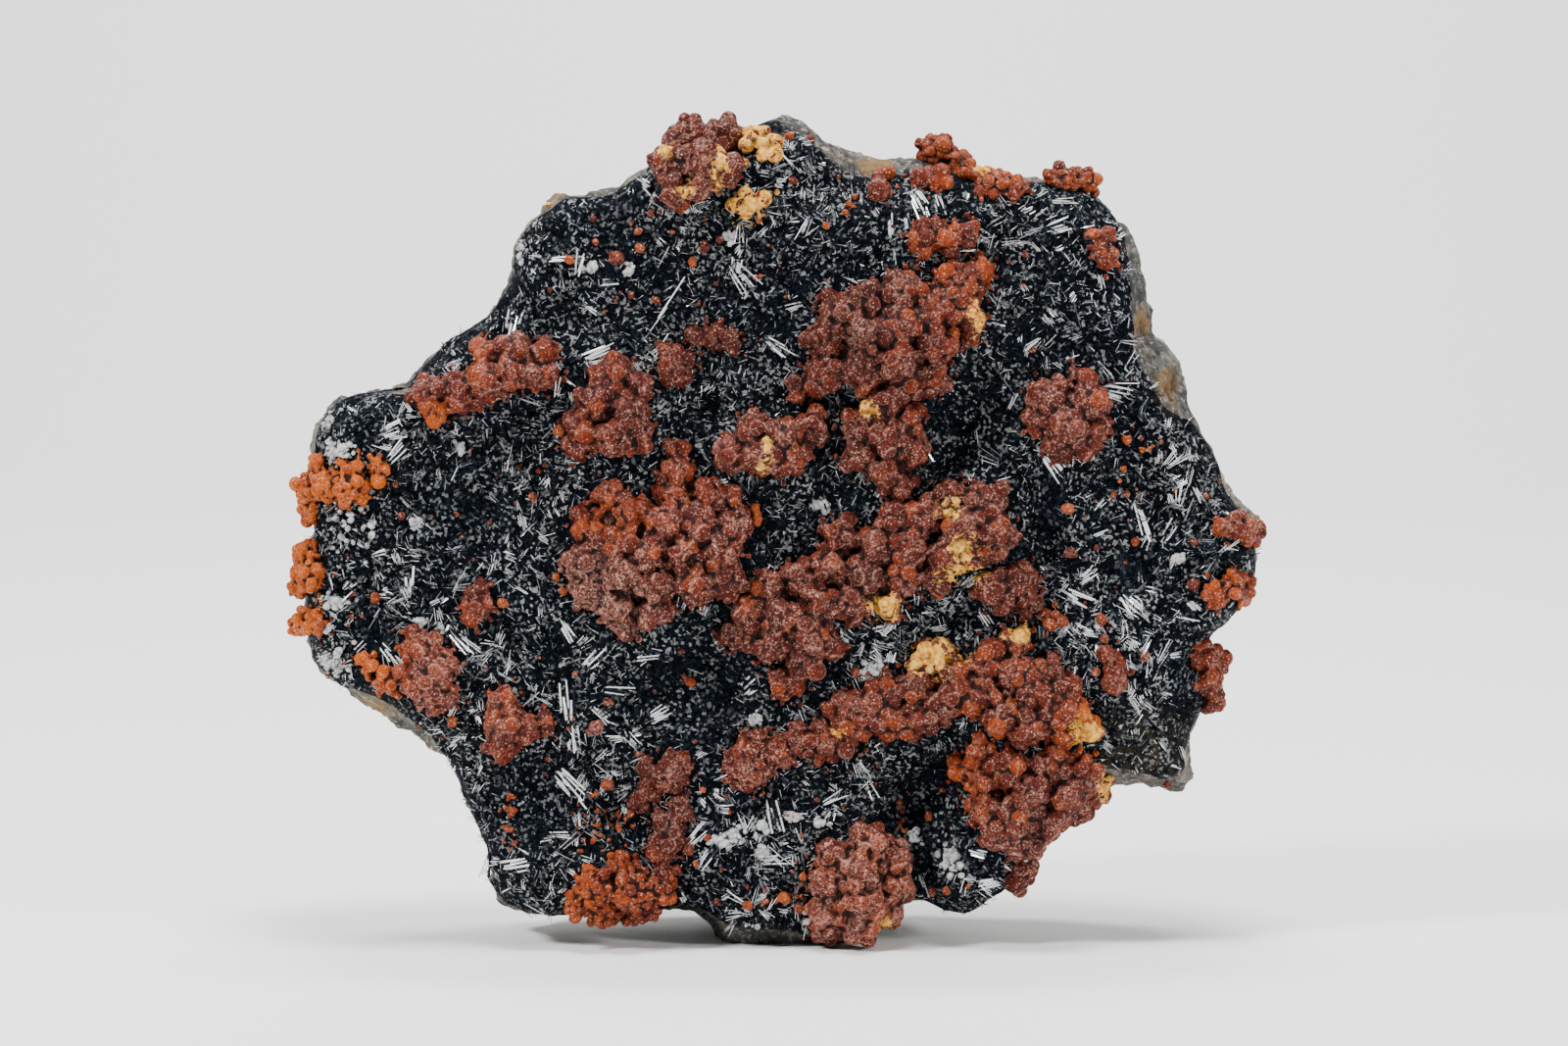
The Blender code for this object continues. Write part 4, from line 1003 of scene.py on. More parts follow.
@dataclass
class OrpimentGrowth:
    """One growth of spherules over a solid of the frame."""

    node: str
    slot: Slot
    tone: float
    large: tuple[float, float] = (0.95, 1.50)
    small: tuple[float, float] = (0.40, 0.75)
    small_share: float = 0.45
    crowd: float = 0.80
    sink: float = 0.22
    cell: float = 0.255
    trials: float = 5.0
    spare_trials: int = 60
    rim: float = 1.6
    giant: float = 1.42
    giant_share: float = 0.10
    proud: float = 1.18
    powder: float = 0.0
    ring: float = 0.47
    ring_width: float = 0.13
    bubble_cell: float = 1.3
    bubble_rise: float = 0.12
    knob_cell: float = 0.70
    knob_rise: float = 0.060

    @classmethod
    def fine_grained(cls, node: str, slot: Slot) -> OrpimentGrowth:
        """A growth of small, bright spherules that stand apart."""
        return cls(node, slot, 1.0, (0.65, 1.10), (0.34, 0.60), crowd=0.92, sink=-0.05, cell=0.2)

    def plant(self, face: FaceMap, dice: np.random.Generator) -> tuple[np.ndarray, np.ndarray, np.ndarray]:
        """Sows spherules on the solid's free surface, none closer than a share of the two radii.

        Args:
            face: The crusted face that the solid sits on.
            dice: Random numbers.

        Returns:
            Centres, radii and outward directions.
        """
        solid = node_skin(self.node)
        corners = solid.points[solid.faces]
        across = np.cross(corners[:, 1] - corners[:, 0], corners[:, 2] - corners[:, 0])
        area = np.linalg.norm(across, axis=1)
        count = int(area.sum() / 2.0 * self.trials) + self.spare_trials
        pick = dice.choice(len(area), count, p=area / area.sum())
        u, v = dice.uniform(size=(2, count))
        over = u + v > 1.0
        u, v = np.where(over, 1.0 - u, u), np.where(over, 1.0 - v, v)
        spots = corners[pick, 0] + u[:, None] * (corners[pick, 1] - corners[pick, 0])
        spots += v[:, None] * (corners[pick, 2] - corners[pick, 0])
        crowns = across[pick] / np.maximum(area[pick], 1e-9)[:, None]
        free = spots[:, 1] < face.depth(spots[:, 0], spots[:, 2]) + 0.5
        spots, crowns = spots[free], crowns[free]
        count = len(spots)
        split = int(count * (1.0 - self.small_share))
        radii = np.concatenate([dice.uniform(*self.large, split), dice.uniform(*self.small, count - split)])
        radii[:split] *= np.where(dice.uniform(size=split) < self.giant_share, self.giant, 1.0)
        _, frost_and_sheen = self.zones(spots[:, 0], spots[:, 2])
        radii *= 1.0 - 0.55 * np.clip((frost_and_sheen - 1.0) / 0.1, 0.0, 1.0)
        kept = self.spaced(spots, radii)
        depth = np.maximum(radii * self.sink, radii - self.proud)[kept]
        centres = spots[kept] - crowns[kept] * depth[:, None]
        beside, sizes = self.outliers(spots, crowns, face, dice)
        ahead = np.tile([0.0, -1.0, 0.0], (len(beside), 1))
        outward = np.concatenate([crowns[kept], ahead])
        return np.concatenate([centres, beside]), np.concatenate([radii[kept], sizes]), outward

    def outliers(
        self, spots: np.ndarray, crowns: np.ndarray, face: FaceMap, dice: np.random.Generator
    ) -> tuple[np.ndarray, np.ndarray]:
        """Small spherules on the crust just outside the solid's rim.

        Args:
            spots: Places on the solid.
            crowns: Its outward directions there.
            face: The crusted face.
            dice: Random numbers.

        Returns:
            Centres and radii.
        """
        low = spots[:, 1] > face.depth(spots[:, 0], spots[:, 2]) - 1.0
        spots, crowns = spots[low], crowns[low]
        reach = dice.uniform(0.2, self.rim, len(spots)) ** 1.3
        x = spots[:, 0] + crowns[:, 0] * reach
        z = spots[:, 2] + crowns[:, 2] * reach
        radii = dice.uniform(0.28, 0.78, len(spots)) * (1.0 - 0.25 * reach / self.rim)
        beside = np.stack([x, face.depth(x, z) - 0.25 * radii, z], axis=1)
        inside = face.carries(x, z)
        beside, radii = beside[inside], radii[inside]
        if not len(beside):
            return beside, radii
        kept = self.spaced(beside, radii * 1.35)
        return beside[kept], radii[kept]

    def zones(self, x: np.ndarray, z: np.ndarray) -> tuple[np.ndarray, np.ndarray]:
        """Tone and frost with painted sheen at each place: the zones' values weighted by exp(-d^2), d in the
        zone's reach.

        Args:
            x: Places across.
            z: Places up.

        Returns:
            Tones, and strengths of frost with painted sheen.
        """
        rows = np.array(TONES)
        away = (x[:, None] - rows[:, 0] - MEASURE_SHIFT) ** 2 + (z[:, None] - rows[:, 1]) ** 2
        weight = np.exp(-away / rows[:, 2] ** 2)
        total = weight.sum(axis=1) + 0.08
        tone = (weight @ rows[:, 3] + 0.08 * self.tone) / total
        frost_and_sheen = (weight @ rows[:, 4] + 0.08 * 0.5) / total
        return tone, frost_and_sheen

    def spaced(self, spots: np.ndarray, radii: np.ndarray) -> np.ndarray:
        """Keeps each spot in turn that no kept one is too close to.

        Args:
            spots: Places in the order of trial.
            radii: Their radii.

        Returns:
            Indices of the kept spots.
        """
        kept: list[int] = []
        places = np.empty_like(spots)
        sizes = np.empty_like(radii)
        for index, spot in enumerate(spots):
            number = len(kept)
            gaps = np.linalg.norm(places[:number] - spot, axis=1)
            if number == 0 or np.all(gaps > self.crowd * (sizes[:number] + radii[index])):
                places[number] = spot
                sizes[number] = radii[index]
                kept.append(index)
        return np.array(kept)

    def build(self, face: FaceMap, noise: Lattice, seed: int) -> bpy.types.Object:
        """Grows solid and spherules together and roughens them with fine noise.

        Args:
            face: The crusted face.
            noise: The noise to read.
            seed: Number for the random places.

        Returns:
            The piece.
        """
        dice = np.random.default_rng(seed)
        centres, radii, crowns = self.plant(face, dice)
        bubbles = balls(ball(14, 9), centres, radii)
        bubbles.points += noise.at(bubbles.points, self.bubble_cell)[:, None] * self.bubble_rise
        skin = fused([node_skin(self.node), bubbles], self.cell)
        skin.points = skin.relaxed(skin.points, 1)
        traits = self.traits(skin, centres, radii, crowns, dice)
        knobs = noise.layers(skin.points + 5.0, self.knob_cell, 2)
        skin.points += skin.normals() * (knobs * self.knob_rise)[:, None]
        return make_piece(self.node + "_growth", skin, traits)

    def traits(
        self, skin: Skin, centres: np.ndarray, radii: np.ndarray, crowns: np.ndarray,
        dice: np.random.Generator
    ) -> dict[str, np.ndarray]:
        """Works out tone, frost with painted sheen, painted crease shade and ochre of each point.

        Frost is brightest, as a painted sheen, in a ring on each spherule's flank: exp(-d^2), d being how far
        the cosine between the point's direction from the spherule's middle and the spherule's crown is from
        the ring's own.

        Args:
            skin: The growth's surface.
            centres: Middles of the spherules.
            radii: Their radii.
            crowns: Their outward directions.
            dice: Random numbers.

        Returns:
            The named values.
        """
        nearest = np.empty(len(skin.points), dtype=int)
        for start in range(0, len(skin.points), 4096):
            block = skin.points[start:start + 4096]
            away = np.linalg.norm(block[:, None, :] - centres[None], axis=2) - radii[None]
            nearest[start:start + 4096] = away.argmin(axis=1)
        arm = skin.points - centres[nearest]
        arm /= np.maximum(np.linalg.norm(arm, axis=1, keepdims=True), 1e-9)
        lean = np.einsum("ij,ij->i", arm, crowns[nearest])
        # Painted sheen: a bright ring on each spherule's flank
        ring = np.exp(-(((lean - self.ring) / self.ring_width) ** 2))
        x = skin.points[:, 0]
        z = skin.points[:, 2]
        tone, frost_and_sheen = self.zones(x, z)
        each = dice.normal(0.0, 0.11, len(centres))[nearest]
        cap = dice.uniform(0.0, 1.0, len(centres))[nearest]
        dusty = np.clip(frost_and_sheen - 0.75, 0.0, 0.4) * 0.8
        frost_and_sheen = frost_and_sheen * (0.05 + 1.15 * ring + 0.35 * (cap > 0.88)) + dusty
        middle = centres[nearest]
        spread = 0.5 * bells(x, z, OCHRES, 1.0) + 0.5 * bells(middle[:, 0], middle[:, 2], OCHRES, 1.0)
        ochre = np.maximum(spread, self.powder)
        # Crease depth at two sizes, which the finish paints as shade
        deep = (self.cell / OrpimentGrowth.cell) ** 2
        creases = skin.hollows(5, 0.15 * deep) * 0.8
        crease_shade = np.clip(creases + skin.hollows(26, 0.55 * deep) * 0.9, 0.0, 1.0)
        return {"tone": tone + each, "frost_and_sheen": frost_and_sheen, "crease_shade": crease_shade, "ochre": ochre}

    def dress(self, piece: bpy.types.Object, material: bpy.types.Material) -> None:
        """Gives the growth its finish."""
        settle(piece, self.slot, material, self.node)


# Single small nodules between the growths: x, z and radius
NODULES = (
    (-34.9, 114.8, 1.3), (-33.5, 115.0, 0.9), (-35.6, 113.4, 0.7),
    (-42.5, 53.0, 1.0), (-61.7, 53.8, 1.0), (-65.2, 54.5, 0.6), (-59.2, 48.8, 0.4), (-55.5, 34.0, 0.8),
    (-51.7, 32.2, 0.5), (-50.0, 35.0, 1.0), (-69.8, 41.0, 0.6), (-66.6, 44.0, 0.7), (-70.5, 43.5, 0.5),
    (-57.7, 66.3, 0.7), (-49.4, 66.3, 0.5), (-38.0, 69.0, 0.9), (-33.6, 79.4, 1.1), (-58.4, 71.0, 0.6),
    (-40.1, 73.5, 0.5), (-37.0, 73.0, 0.6), (-35.0, 100.6, 0.5), (-32.1, 105.1, 0.9), (-24.8, 105.4, 1.3),
    (-21.7, 109.4, 0.8), (-21.5, 106.8, 0.9), (-28.5, 111.3, 0.7), (-28.2, 107.8, 0.7), (-19.7, 112.2, 0.7),
    (-22.8, 99.7, 0.7), (-19.0, 99.0, 0.8), (-16.5, 109.3, 0.5), (-11.5, 111.1, 0.4), (1.2, 123.8, 0.9),
    (4.5, 123.5, 0.8), (1.8, 117.1, 0.8), (9.8, 112.2, 0.7), (10.4, 113.4, 0.7), (11.3, 114.6, 0.6),
    (6.8, 110.2, 0.7), (-3.4, 111.0, 0.6), (-9.2, 108.2, 0.8), (-11.5, 107.0, 1.0), (-13.5, 104.8, 0.8),
    (37.0, 105.9, 0.6), (38.2, 91.5, 0.7), (52.5, 77.8, 0.9), (54.8, 76.3, 0.6), (51.9, 73.5, 0.6),
    (50.5, 69.5, 0.7), (52.5, 69.6, 0.7), (43.6, 67.3, 1.1), (44.1, 60.6, 1.1), (48.0, 61.5, 0.6),
    (54.0, 62.3, 0.8), (62.8, 62.2, 0.8), (62.7, 55.8, 1.2), (64.6, 69.2, 0.6), (68.3, 72.8, 0.6),
    (67.3, 71.3, 0.5), (48.7, 50.5, 1.0), (49.2, 47.7, 0.9), (42.3, 45.6, 0.5), (48.0, 42.5, 0.8),
    (55.3, 44.8, 0.9), (-33.0, 54.8, 0.8), (-34.2, 57.0, 0.8), (-4.0, 67.2, 1.0), (-3.8, 65.6, 1.1),
    (-13.8, 40.6, 1.0), (-14.9, 41.5, 0.5), (-15.2, 45.5, 0.5), (-31.3, 42.2, 0.6), (-26.3, 37.8, 0.9),
    (-28.0, 34.0, 1.3), (-29.4, 33.3, 0.6), (-21.9, 29.9, 0.6), (-26.4, 25.1, 1.2), (-28.2, 23.6, 0.5),
    (-23.0, 20.4, 0.8), (-22.8, 18.4, 0.5), (18.3, 21.8, 0.6), (18.6, 20.4, 0.6), (18.9, 19.0, 0.5),
    (19.2, 17.4, 0.5), (22.8, 19.5, 0.9), (24.8, 23.8, 0.6), (5.8, 28.6, 1.0), (-5.0, 6.8, 0.9),
    (0.5, 8.0, 1.2), (-2.3, 7.5, 0.6), (3.4, 11.2, 0.8), (2.5, 6.2, 0.9), (-9.8, 7.2, 0.7),
    (-14.2, 15.3, 1.1), (-11.2, 17.2, 0.7), (-13.0, 13.3, 0.7), (-8.4, 23.4, 0.6), (-12.0, 24.4, 0.6),
    (23.2, 8.2, 0.9), (25.3, 8.9, 0.8), (28.6, 9.8, 0.5), (31.0, 5.6, 0.7), (41.5, 14.5, 1.0),
    (43.2, 14.2, 0.5), (11.3, 42.4, 0.9), (13.2, 42.2, 0.7), (60.0, 24.0, 0.8), (-41.5, 23.5, 0.5),
    (-41.0, 21.0, 0.5), (-41.8, 18.6, 0.5), (-40.8, 16.2, 0.5),
)

# Strings of tiny orange specks: x, z, half widths and number
SPECK_FIELDS = (
    (-26.5, 18.5, 6.5, 4.0, 62), (-41.2, 19.5, 1.4, 5.0, 24), (18.8, 19.4, 1.2, 3.4, 14),
    (-68.0, 50.0, 5.0, 8.0, 18), (-72.5, 51.0, 2.0, 3.0, 26), (55.0, 70.0, 12.0, 12.0, 22),
    (-10.0, 100.0, 24.0, 12.0, 26), (48.0, 48.0, 9.0, 7.0, 14), (10.0, 22.0, 22.0, 12.0, 26),
    (-35.0, 35.0, 20.0, 12.0, 20), (-48.0, 70.0, 16.0, 12.0, 14), (30.0, 110.0, 14.0, 6.0, 12),
    (2.0, 10.0, 8.0, 6.0, 24), (14.0, 116.0, 8.0, 4.0, 16),
)


@dataclass
class SmallNodules:
    """The single orange nodules and the strings of tiny specks."""

    face: FaceMap
    cell: float = 0.2
    seed: int = 41
    knobs: int = 5

    def build(self, noise: Lattice) -> bpy.types.Object:
        """Each nodule is a ball with a few smaller ones round it; a speck is one small ball.

        Args:
            noise: The noise to read.

        Returns:
            The piece.
        """
        dice = np.random.default_rng(self.seed)
        rows = np.array(NODULES)
        rows[:, 0] += MEASURE_SHIFT
        rows = rows[self.face.carries(rows[:, 0], rows[:, 1])]
        number = len(rows)
        knob = dice.normal(size=(number, self.knobs, 3))
        knob /= np.linalg.norm(knob, axis=2, keepdims=True)
        knob[:, :, 1] = -np.abs(knob[:, :, 1])
        depth = self.face.depth(rows[:, 0], rows[:, 1])
        main = np.stack([rows[:, 0], depth - 0.35 * rows[:, 2], rows[:, 1]], axis=1)
        beside = (main[:, None] + knob * (rows[:, 2] * 0.55)[:, None, None]).reshape(-1, 3)
        radii = np.repeat(rows[:, 2] * 0.5, self.knobs) * dice.uniform(0.7, 1.2, number * self.knobs)
        specks, sizes = self.specks(dice)
        centres = np.concatenate([main, beside, specks])
        radii = np.concatenate([rows[:, 2] * 0.8, radii, sizes])
        skin = fused([balls(ball(12, 8), centres, radii)], self.cell)
        grain = noise.layers(skin.points, 0.6, 2)
        skin.points += skin.normals() * (grain * 0.07)[:, None]
        tone = 0.70 + 0.50 * noise.at(skin.points + 60.0, 4.0)
        frost_and_sheen = 0.10 + 0.45 * np.clip(noise.at(skin.points + 30.0, 6.0), 0.0, 1.0)
        ochre = bells(skin.points[:, 0], skin.points[:, 2], OCHRES, 1.0)
        # Crease depth of the nodules, which the finish paints as shade
        traits = {"tone": tone, "frost_and_sheen": frost_and_sheen, "crease_shade": skin.hollows(4, 0.18), "ochre": ochre}
        return make_piece("small_nodules", skin, traits)

    def specks(self, dice: np.random.Generator) -> tuple[np.ndarray, np.ndarray]:
        """Strews the tiny specks over their fields.

        Args:
            dice: Random numbers.

        Returns:
            Centres and radii.
        """
        places = []
        for x, z, wide, high, count in SPECK_FIELDS:
            at_x = dice.normal(x, wide / 2, count)
            places.append(np.stack([at_x, dice.normal(z, high / 2, count)], axis=1))
        flat = np.concatenate(places)
        flat = flat[self.face.carries(flat[:, 0], flat[:, 1])]
        depth = self.face.depth(flat[:, 0], flat[:, 1]) - 0.15
        return np.stack([flat[:, 0], depth, flat[:, 1]], axis=1), dice.uniform(0.20, 0.42, len(flat))

    def dress(self, piece: bpy.types.Object, material: bpy.types.Material) -> None:
        """Gives the nodules the orange finish."""
        settle(piece, Slot.ORANGE, material)


# Patches of white grains: x, z, half widths and number
GRAIN_PATCHES = (
    (-70.0, 81.2, 1.6, 2.2, 22), (-67.2, 76.0, 2.4, 2.0, 22), (-74.0, 61.3, 1.2, 1.4, 10),
    (-67.8, 53.3, 2.0, 1.0, 14), (-68.8, 49.3, 0.8, 0.8, 6), (-68.2, 44.0, 2.2, 2.2, 22),
    (-59.0, 33.0, 3.4, 1.4, 26), (-48.6, 76.6, 1.0, 0.8, 7), (-55.5, 65.0, 1.0, 0.8, 7),
    (-55.0, 50.0, 1.0, 0.8, 7), (-52.0, 49.0, 0.9, 0.8, 6), (-38.0, 111.5, 1.7, 1.2, 15),
    (-40.2, 107.0, 1.5, 2.2, 18), (-45.0, 98.8, 0.8, 0.8, 6), (-28.8, 104.0, 1.0, 0.8, 7),
    (-23.3, 103.3, 0.9, 0.8, 6), (-14.8, 113.0, 1.0, 0.8, 7), (-7.5, 108.5, 1.0, 0.8, 7),
    (54.0, 98.8, 1.2, 2.0, 14), (60.5, 59.7, 0.8, 0.8, 6), (6.0, 68.0, 1.3, 1.2, 12),
    (13.8, 42.8, 2.0, 1.4, 14), (-4.0, 35.0, 0.9, 0.8, 7), (-2.8, 19.0, 0.9, 0.8, 7),
    (-3.0, 15.3, 1.0, 0.9, 9), (-8.2, 17.2, 2.4, 1.4, 18), (1.5, 20.5, 1.6, 0.8, 10),
    (6.0, 19.3, 0.8, 0.8, 6), (26.0, 13.8, 1.7, 2.4, 20), (20.8, 16.8, 0.9, 0.9, 6),
    (60.5, 25.8, 0.9, 0.8, 7), (62.5, 22.8, 1.2, 0.9, 9), (63.8, 24.0, 0.8, 0.8, 6),
    (4.5, 5.4, 0.9, 1.2, 8), (-5.0, 2.4, 5.0, 1.2, 26), (-21.0, 3.6, 4.0, 1.0, 18),
    (-40.0, 4.2, 4.0, 1.4, 20), (-66.0, 66.0, 5.0, 5.0, 14), (62.0, 92.0, 4.0, 5.0, 14),
)


@dataclass
class PaleGrains:
    """White grains in patches, and fine pale specks all over the needles."""

    face: FaceMap
    seed: int = 53
    specks: int = 11500
    plenty: float = 3.0
    size: tuple[float, float] = (0.22, 0.66)
    speck_size: tuple[float, float] = (0.07, 0.20)

    def build(self, free: FreeTest, noise: Lattice) -> bpy.types.Object:
        """Grains are six-sided pebbles and specks are octahedra, each stretched and turned at random.

        Args:
            free: Tells which places no growth covers.
            noise: Gathers the specks in clouds.

        Returns:
            The piece.
        """
        dice = np.random.default_rng(self.seed)
        places = []
        for x, z, wide, high, count in GRAIN_PATCHES:
            count = int(count * self.plenty)
            at_x = dice.normal(x + MEASURE_SHIFT, wide * 0.5, count)
            places.append(np.stack([at_x, dice.normal(z, high * 0.5, count)], axis=1))
        grains = self.lumps(np.concatenate(places), self.size, ball(6, 4), dice, free)
        wild_x = dice.uniform(-HALF_WIDTH, HALF_WIDTH, self.specks)
        wild = np.stack([wild_x, dice.uniform(1.0, HEIGHT, self.specks)], axis=1)
        spots = np.stack([wild[:, 0], np.zeros(self.specks), wild[:, 1]], axis=1)
        soft = bells(wild[:, 0], wild[:, 1], VELVETS)
        wild = wild[noise.layers(spots, 9.0, 2) - 0.7 * soft > dice.uniform(-0.9, 0.6, self.specks)]
        specks = self.lumps(wild, self.speck_size, ball(4, 2), dice, free)
        skin = joined([grains, specks])
        shade = np.repeat(dice.uniform(-0.35, 0.95, len(skin.points) // 2 + 1), 2)[:len(skin.points)]
        return make_piece("pale_grains", skin, {"shade": shade}, smooth=False)

    def lumps(
        self, flat: np.ndarray, size: tuple[float, float], unit: Skin, dice: np.random.Generator,
        free: FreeTest
    ) -> Skin:
        """Lays stretched copies of a small ball on the free face.

        Args:
            flat: Places across and up.
            size: Least and largest radius.
            unit: The ball.
            dice: Random numbers.
            free: Tells which places no growth covers.

        Returns:
            The copies as one skin.
        """
        flat = flat[free(flat[:, 0], flat[:, 1])]
        radii = dice.uniform(*size, len(flat))
        depth = self.face.depth(flat[:, 0], flat[:, 1]) - radii * 0.6
        centres = np.stack([flat[:, 0], depth, flat[:, 1]], axis=1)
        sizes = radii[:, None] * dice.uniform(0.55, 1.25, (len(flat), 3))
        return scattered(unit, centres, turned_frames(sizes, dice))

    def dress(self, piece: bpy.types.Object, material: bpy.types.Material) -> None:
        """Gives the grains their pale finish."""
        settle(piece, Slot.ROCK, material)


# Conspicuous needle bundles: x, z, direction in degrees, length, width, number and fan in degrees
SPRAYS = (
    (-58.5, 79.3, 20.0, 3.8, 0.7, 5, 16.0), (-64.0, 81.4, -28.0, 4.6, 0.5, 2, 5.0),
    (-55.6, 82.7, -42.0, 4.6, 0.6, 3, 10.0), (-58.2, 76.2, 50.0, 4.4, 0.6, 3, 12.0),
    (-61.2, 60.6, 15.0, 3.8, 0.6, 2, 4.0), (-56.6, 56.6, 90.0, 4.6, 0.9, 2, 4.0),
    (-47.4, 46.2, -37.0, 7.2, 0.6, 4, 14.0), (-59.4, 45.0, -50.0, 4.4, 0.6, 3, 8.0),
    (-45.5, 28.4, 58.0, 5.0, 0.7, 2, 4.0), (-32.6, 38.6, 92.0, 6.4, 0.9, 4, 8.0),
    (-31.8, 33.0, 98.0, 5.6, 0.8, 4, 12.0), (-32.0, 24.4, -49.0, 6.4, 0.9, 4, 6.0),
    (-39.6, 13.3, 18.0, 6.8, 0.9, 4, 8.0), (-45.2, 12.0, 66.0, 4.6, 0.6, 3, 12.0),
    (-18.4, 35.6, 26.0, 4.4, 0.6, 5, 16.0), (-33.6, 17.5, -8.0, 4.2, 0.6, 2, 4.0),
    (-23.6, 24.0, 20.0, 3.6, 0.5, 2, 4.0), (-4.2, 40.6, 42.0, 4.6, 0.9, 5, 10.0),
    (-28.0, 44.8, 45.0, 5.2, 0.8, 3, 6.0), (-20.3, 44.7, 12.0, 4.2, 0.6, 2, 4.0),
    (-25.6, 39.4, -8.0, 5.6, 0.6, 3, 14.0), (-27.2, 35.8, -46.0, 4.2, 0.6, 3, 14.0),
    (-32.6, 48.4, -60.0, 4.6, 0.7, 3, 12.0), (-2.2, 59.0, -38.0, 3.6, 0.6, 2, 4.0),
    (-2.6, 57.6, 58.0, 3.0, 0.6, 2, 4.0), (-40.8, 96.0, 72.0, 4.8, 0.7, 5, 8.0),
    (-30.3, 104.8, 74.0, 4.8, 0.6, 2, 4.0), (-33.6, 105.2, 2.0, 3.6, 0.6, 2, 4.0),
    (-26.2, 101.0, 2.0, 3.8, 0.7, 2, 4.0), (-28.0, 97.2, -31.0, 4.2, 0.6, 2, 4.0),
    (-18.3, 92.0, 55.0, 4.6, 0.6, 3, 8.0), (-27.4, 90.6, 15.0, 5.0, 0.8, 4, 8.0),
    (-31.7, 86.2, -32.0, 3.0, 0.6, 2, 4.0), (-17.0, 98.6, 54.0, 8.6, 0.5, 2, 3.0),
    (-5.4, 101.6, -52.0, 6.2, 0.6, 5, 16.0), (-19.4, 115.4, -44.0, 4.6, 0.7, 3, 10.0),
    (10.2, 101.0, -30.0, 3.6, 0.7, 5, 16.0), (-6.6, 105.0, 80.0, 3.6, 0.6, 3, 20.0),
    (2.8, 111.1, 2.0, 3.6, 0.6, 2, 4.0), (6.4, 112.6, 40.0, 3.4, 0.6, 2, 4.0),
    (16.5, 110.2, 94.0, 3.8, 0.6, 2, 4.0), (21.0, 113.4, -66.0, 4.2, 0.6, 5, 18.0),
    (23.9, 113.2, -80.0, 3.6, 0.6, 3, 14.0), (42.0, 110.0, 16.0, 4.4, 0.7, 4, 12.0),
    (44.9, 111.4, 66.0, 2.8, 0.7, 2, 4.0), (39.2, 115.8, 42.0, 3.2, 0.6, 3, 10.0),
    (51.8, 109.2, 32.0, 3.8, 0.6, 3, 12.0), (42.5, 106.9, 20.0, 2.6, 0.5, 2, 4.0),
    (32.9, 95.6, -17.0, 2.8, 0.6, 2, 4.0), (51.6, 85.0, -14.0, 5.2, 0.7, 5, 16.0),
    (55.0, 86.0, -43.0, 8.4, 0.6, 2, 3.0), (41.7, 74.0, -46.0, 5.4, 0.8, 4, 6.0),
    (49.0, 68.4, 45.0, 3.8, 0.6, 3, 8.0), (54.6, 65.2, -73.0, 6.0, 0.9, 3, 3.0),
    (57.5, 75.2, 96.0, 2.8, 0.6, 2, 4.0), (60.6, 71.2, 32.0, 3.0, 0.6, 2, 4.0),
    (63.4, 69.6, -67.0, 3.4, 0.6, 2, 4.0), (59.2, 64.0, 60.0, 3.8, 0.8, 3, 4.0),
    (71.6, 58.6, -83.0, 3.2, 0.7, 2, 4.0), (62.8, 52.2, -46.0, 3.2, 0.6, 3, 8.0),
    (62.4, 50.6, -12.0, 4.4, 0.6, 2, 4.0), (45.2, 53.4, -28.0, 5.2, 0.8, 4, 8.0),
    (46.8, 57.3, 40.0, 3.8, 0.6, 3, 12.0), (53.8, 52.4, -50.0, 4.6, 0.7, 5, 12.0),
    (49.0, 63.7, 25.0, 3.0, 0.6, 2, 4.0), (59.0, 38.6, -25.0, 3.0, 0.6, 2, 4.0),
    (45.6, 48.9, -32.0, 4.0, 0.6, 3, 14.0), (35.4, 84.4, 66.0, 4.6, 0.5, 2, 4.0),
    (-0.2, 91.6, -35.0, 4.6, 0.6, 3, 10.0), (23.4, 75.6, -58.0, 5.6, 0.7, 4, 10.0),
    (-0.7, 19.4, -75.0, 6.8, 0.8, 4, 6.0), (7.6, 22.8, 28.0, 4.8, 0.5, 2, 4.0),
    (13.8, 23.8, -68.0, 4.2, 0.6, 3, 12.0), (-11.3, 14.4, 58.0, 4.4, 0.6, 3, 10.0),
    (-14.8, 6.8, -66.0, 3.4, 0.7, 2, 4.0), (-8.4, 5.8, 72.0, 3.2, 0.6, 2, 4.0),
    (-12.6, 17.4, 42.0, 5.6, 0.6, 4, 10.0), (-1.2, 13.6, 2.0, 6.4, 0.6, 4, 8.0),
    (12.3, 27.0, -60.0, 4.0, 0.6, 3, 14.0), (32.1, 10.1, 12.0, 4.2, 0.9, 3, 4.0),
    (42.3, 16.7, -54.0, 3.2, 0.7, 3, 10.0), (30.6, 14.9, -8.0, 3.8, 0.7, 3, 8.0),
    (22.2, 8.6, -64.0, 4.2, 0.6, 2, 4.0),
)

# Zones where the needles are short, blue-black velvet: x, z and half widths
VELVETS = (
    (-24.0, 110.0, 5.0, 5.0), (-63.0, 78.5, 3.0, 3.5), (-45.0, 76.5, 4.0, 3.5), (28.0, 81.5, 7.0, 8.0),
    (40.5, 66.5, 3.5, 8.0), (-12.0, 41.0, 11.0, 9.0), (-38.5, 21.5, 7.0, 6.0), (-62.0, 48.0, 3.0, 4.0),
    (53.0, 58.0, 4.0, 5.0), (61.5, 40.0, 2.5, 8.0), (21.5, 18.0, 7.0, 12.0), (-48.0, 66.0, 8.0, 5.0),
)

# Zones of rock grains among sparse needles: x, z and half widths
GRITS = (
    (55.5, 29.5, 7.5, 7.5), (60.0, 86.5, 3.4, 5.0), (74.0, 64.5, 2.6, 3.0), (-64.0, 36.5, 6.5, 3.6),
    (-5.0, 1.6, 7.0, 2.2), (-40.0, 3.6, 6.0, 2.6), (14.0, 120.0, 7.5, 2.4), (-30.0, 116.2, 4.5, 1.4),
)


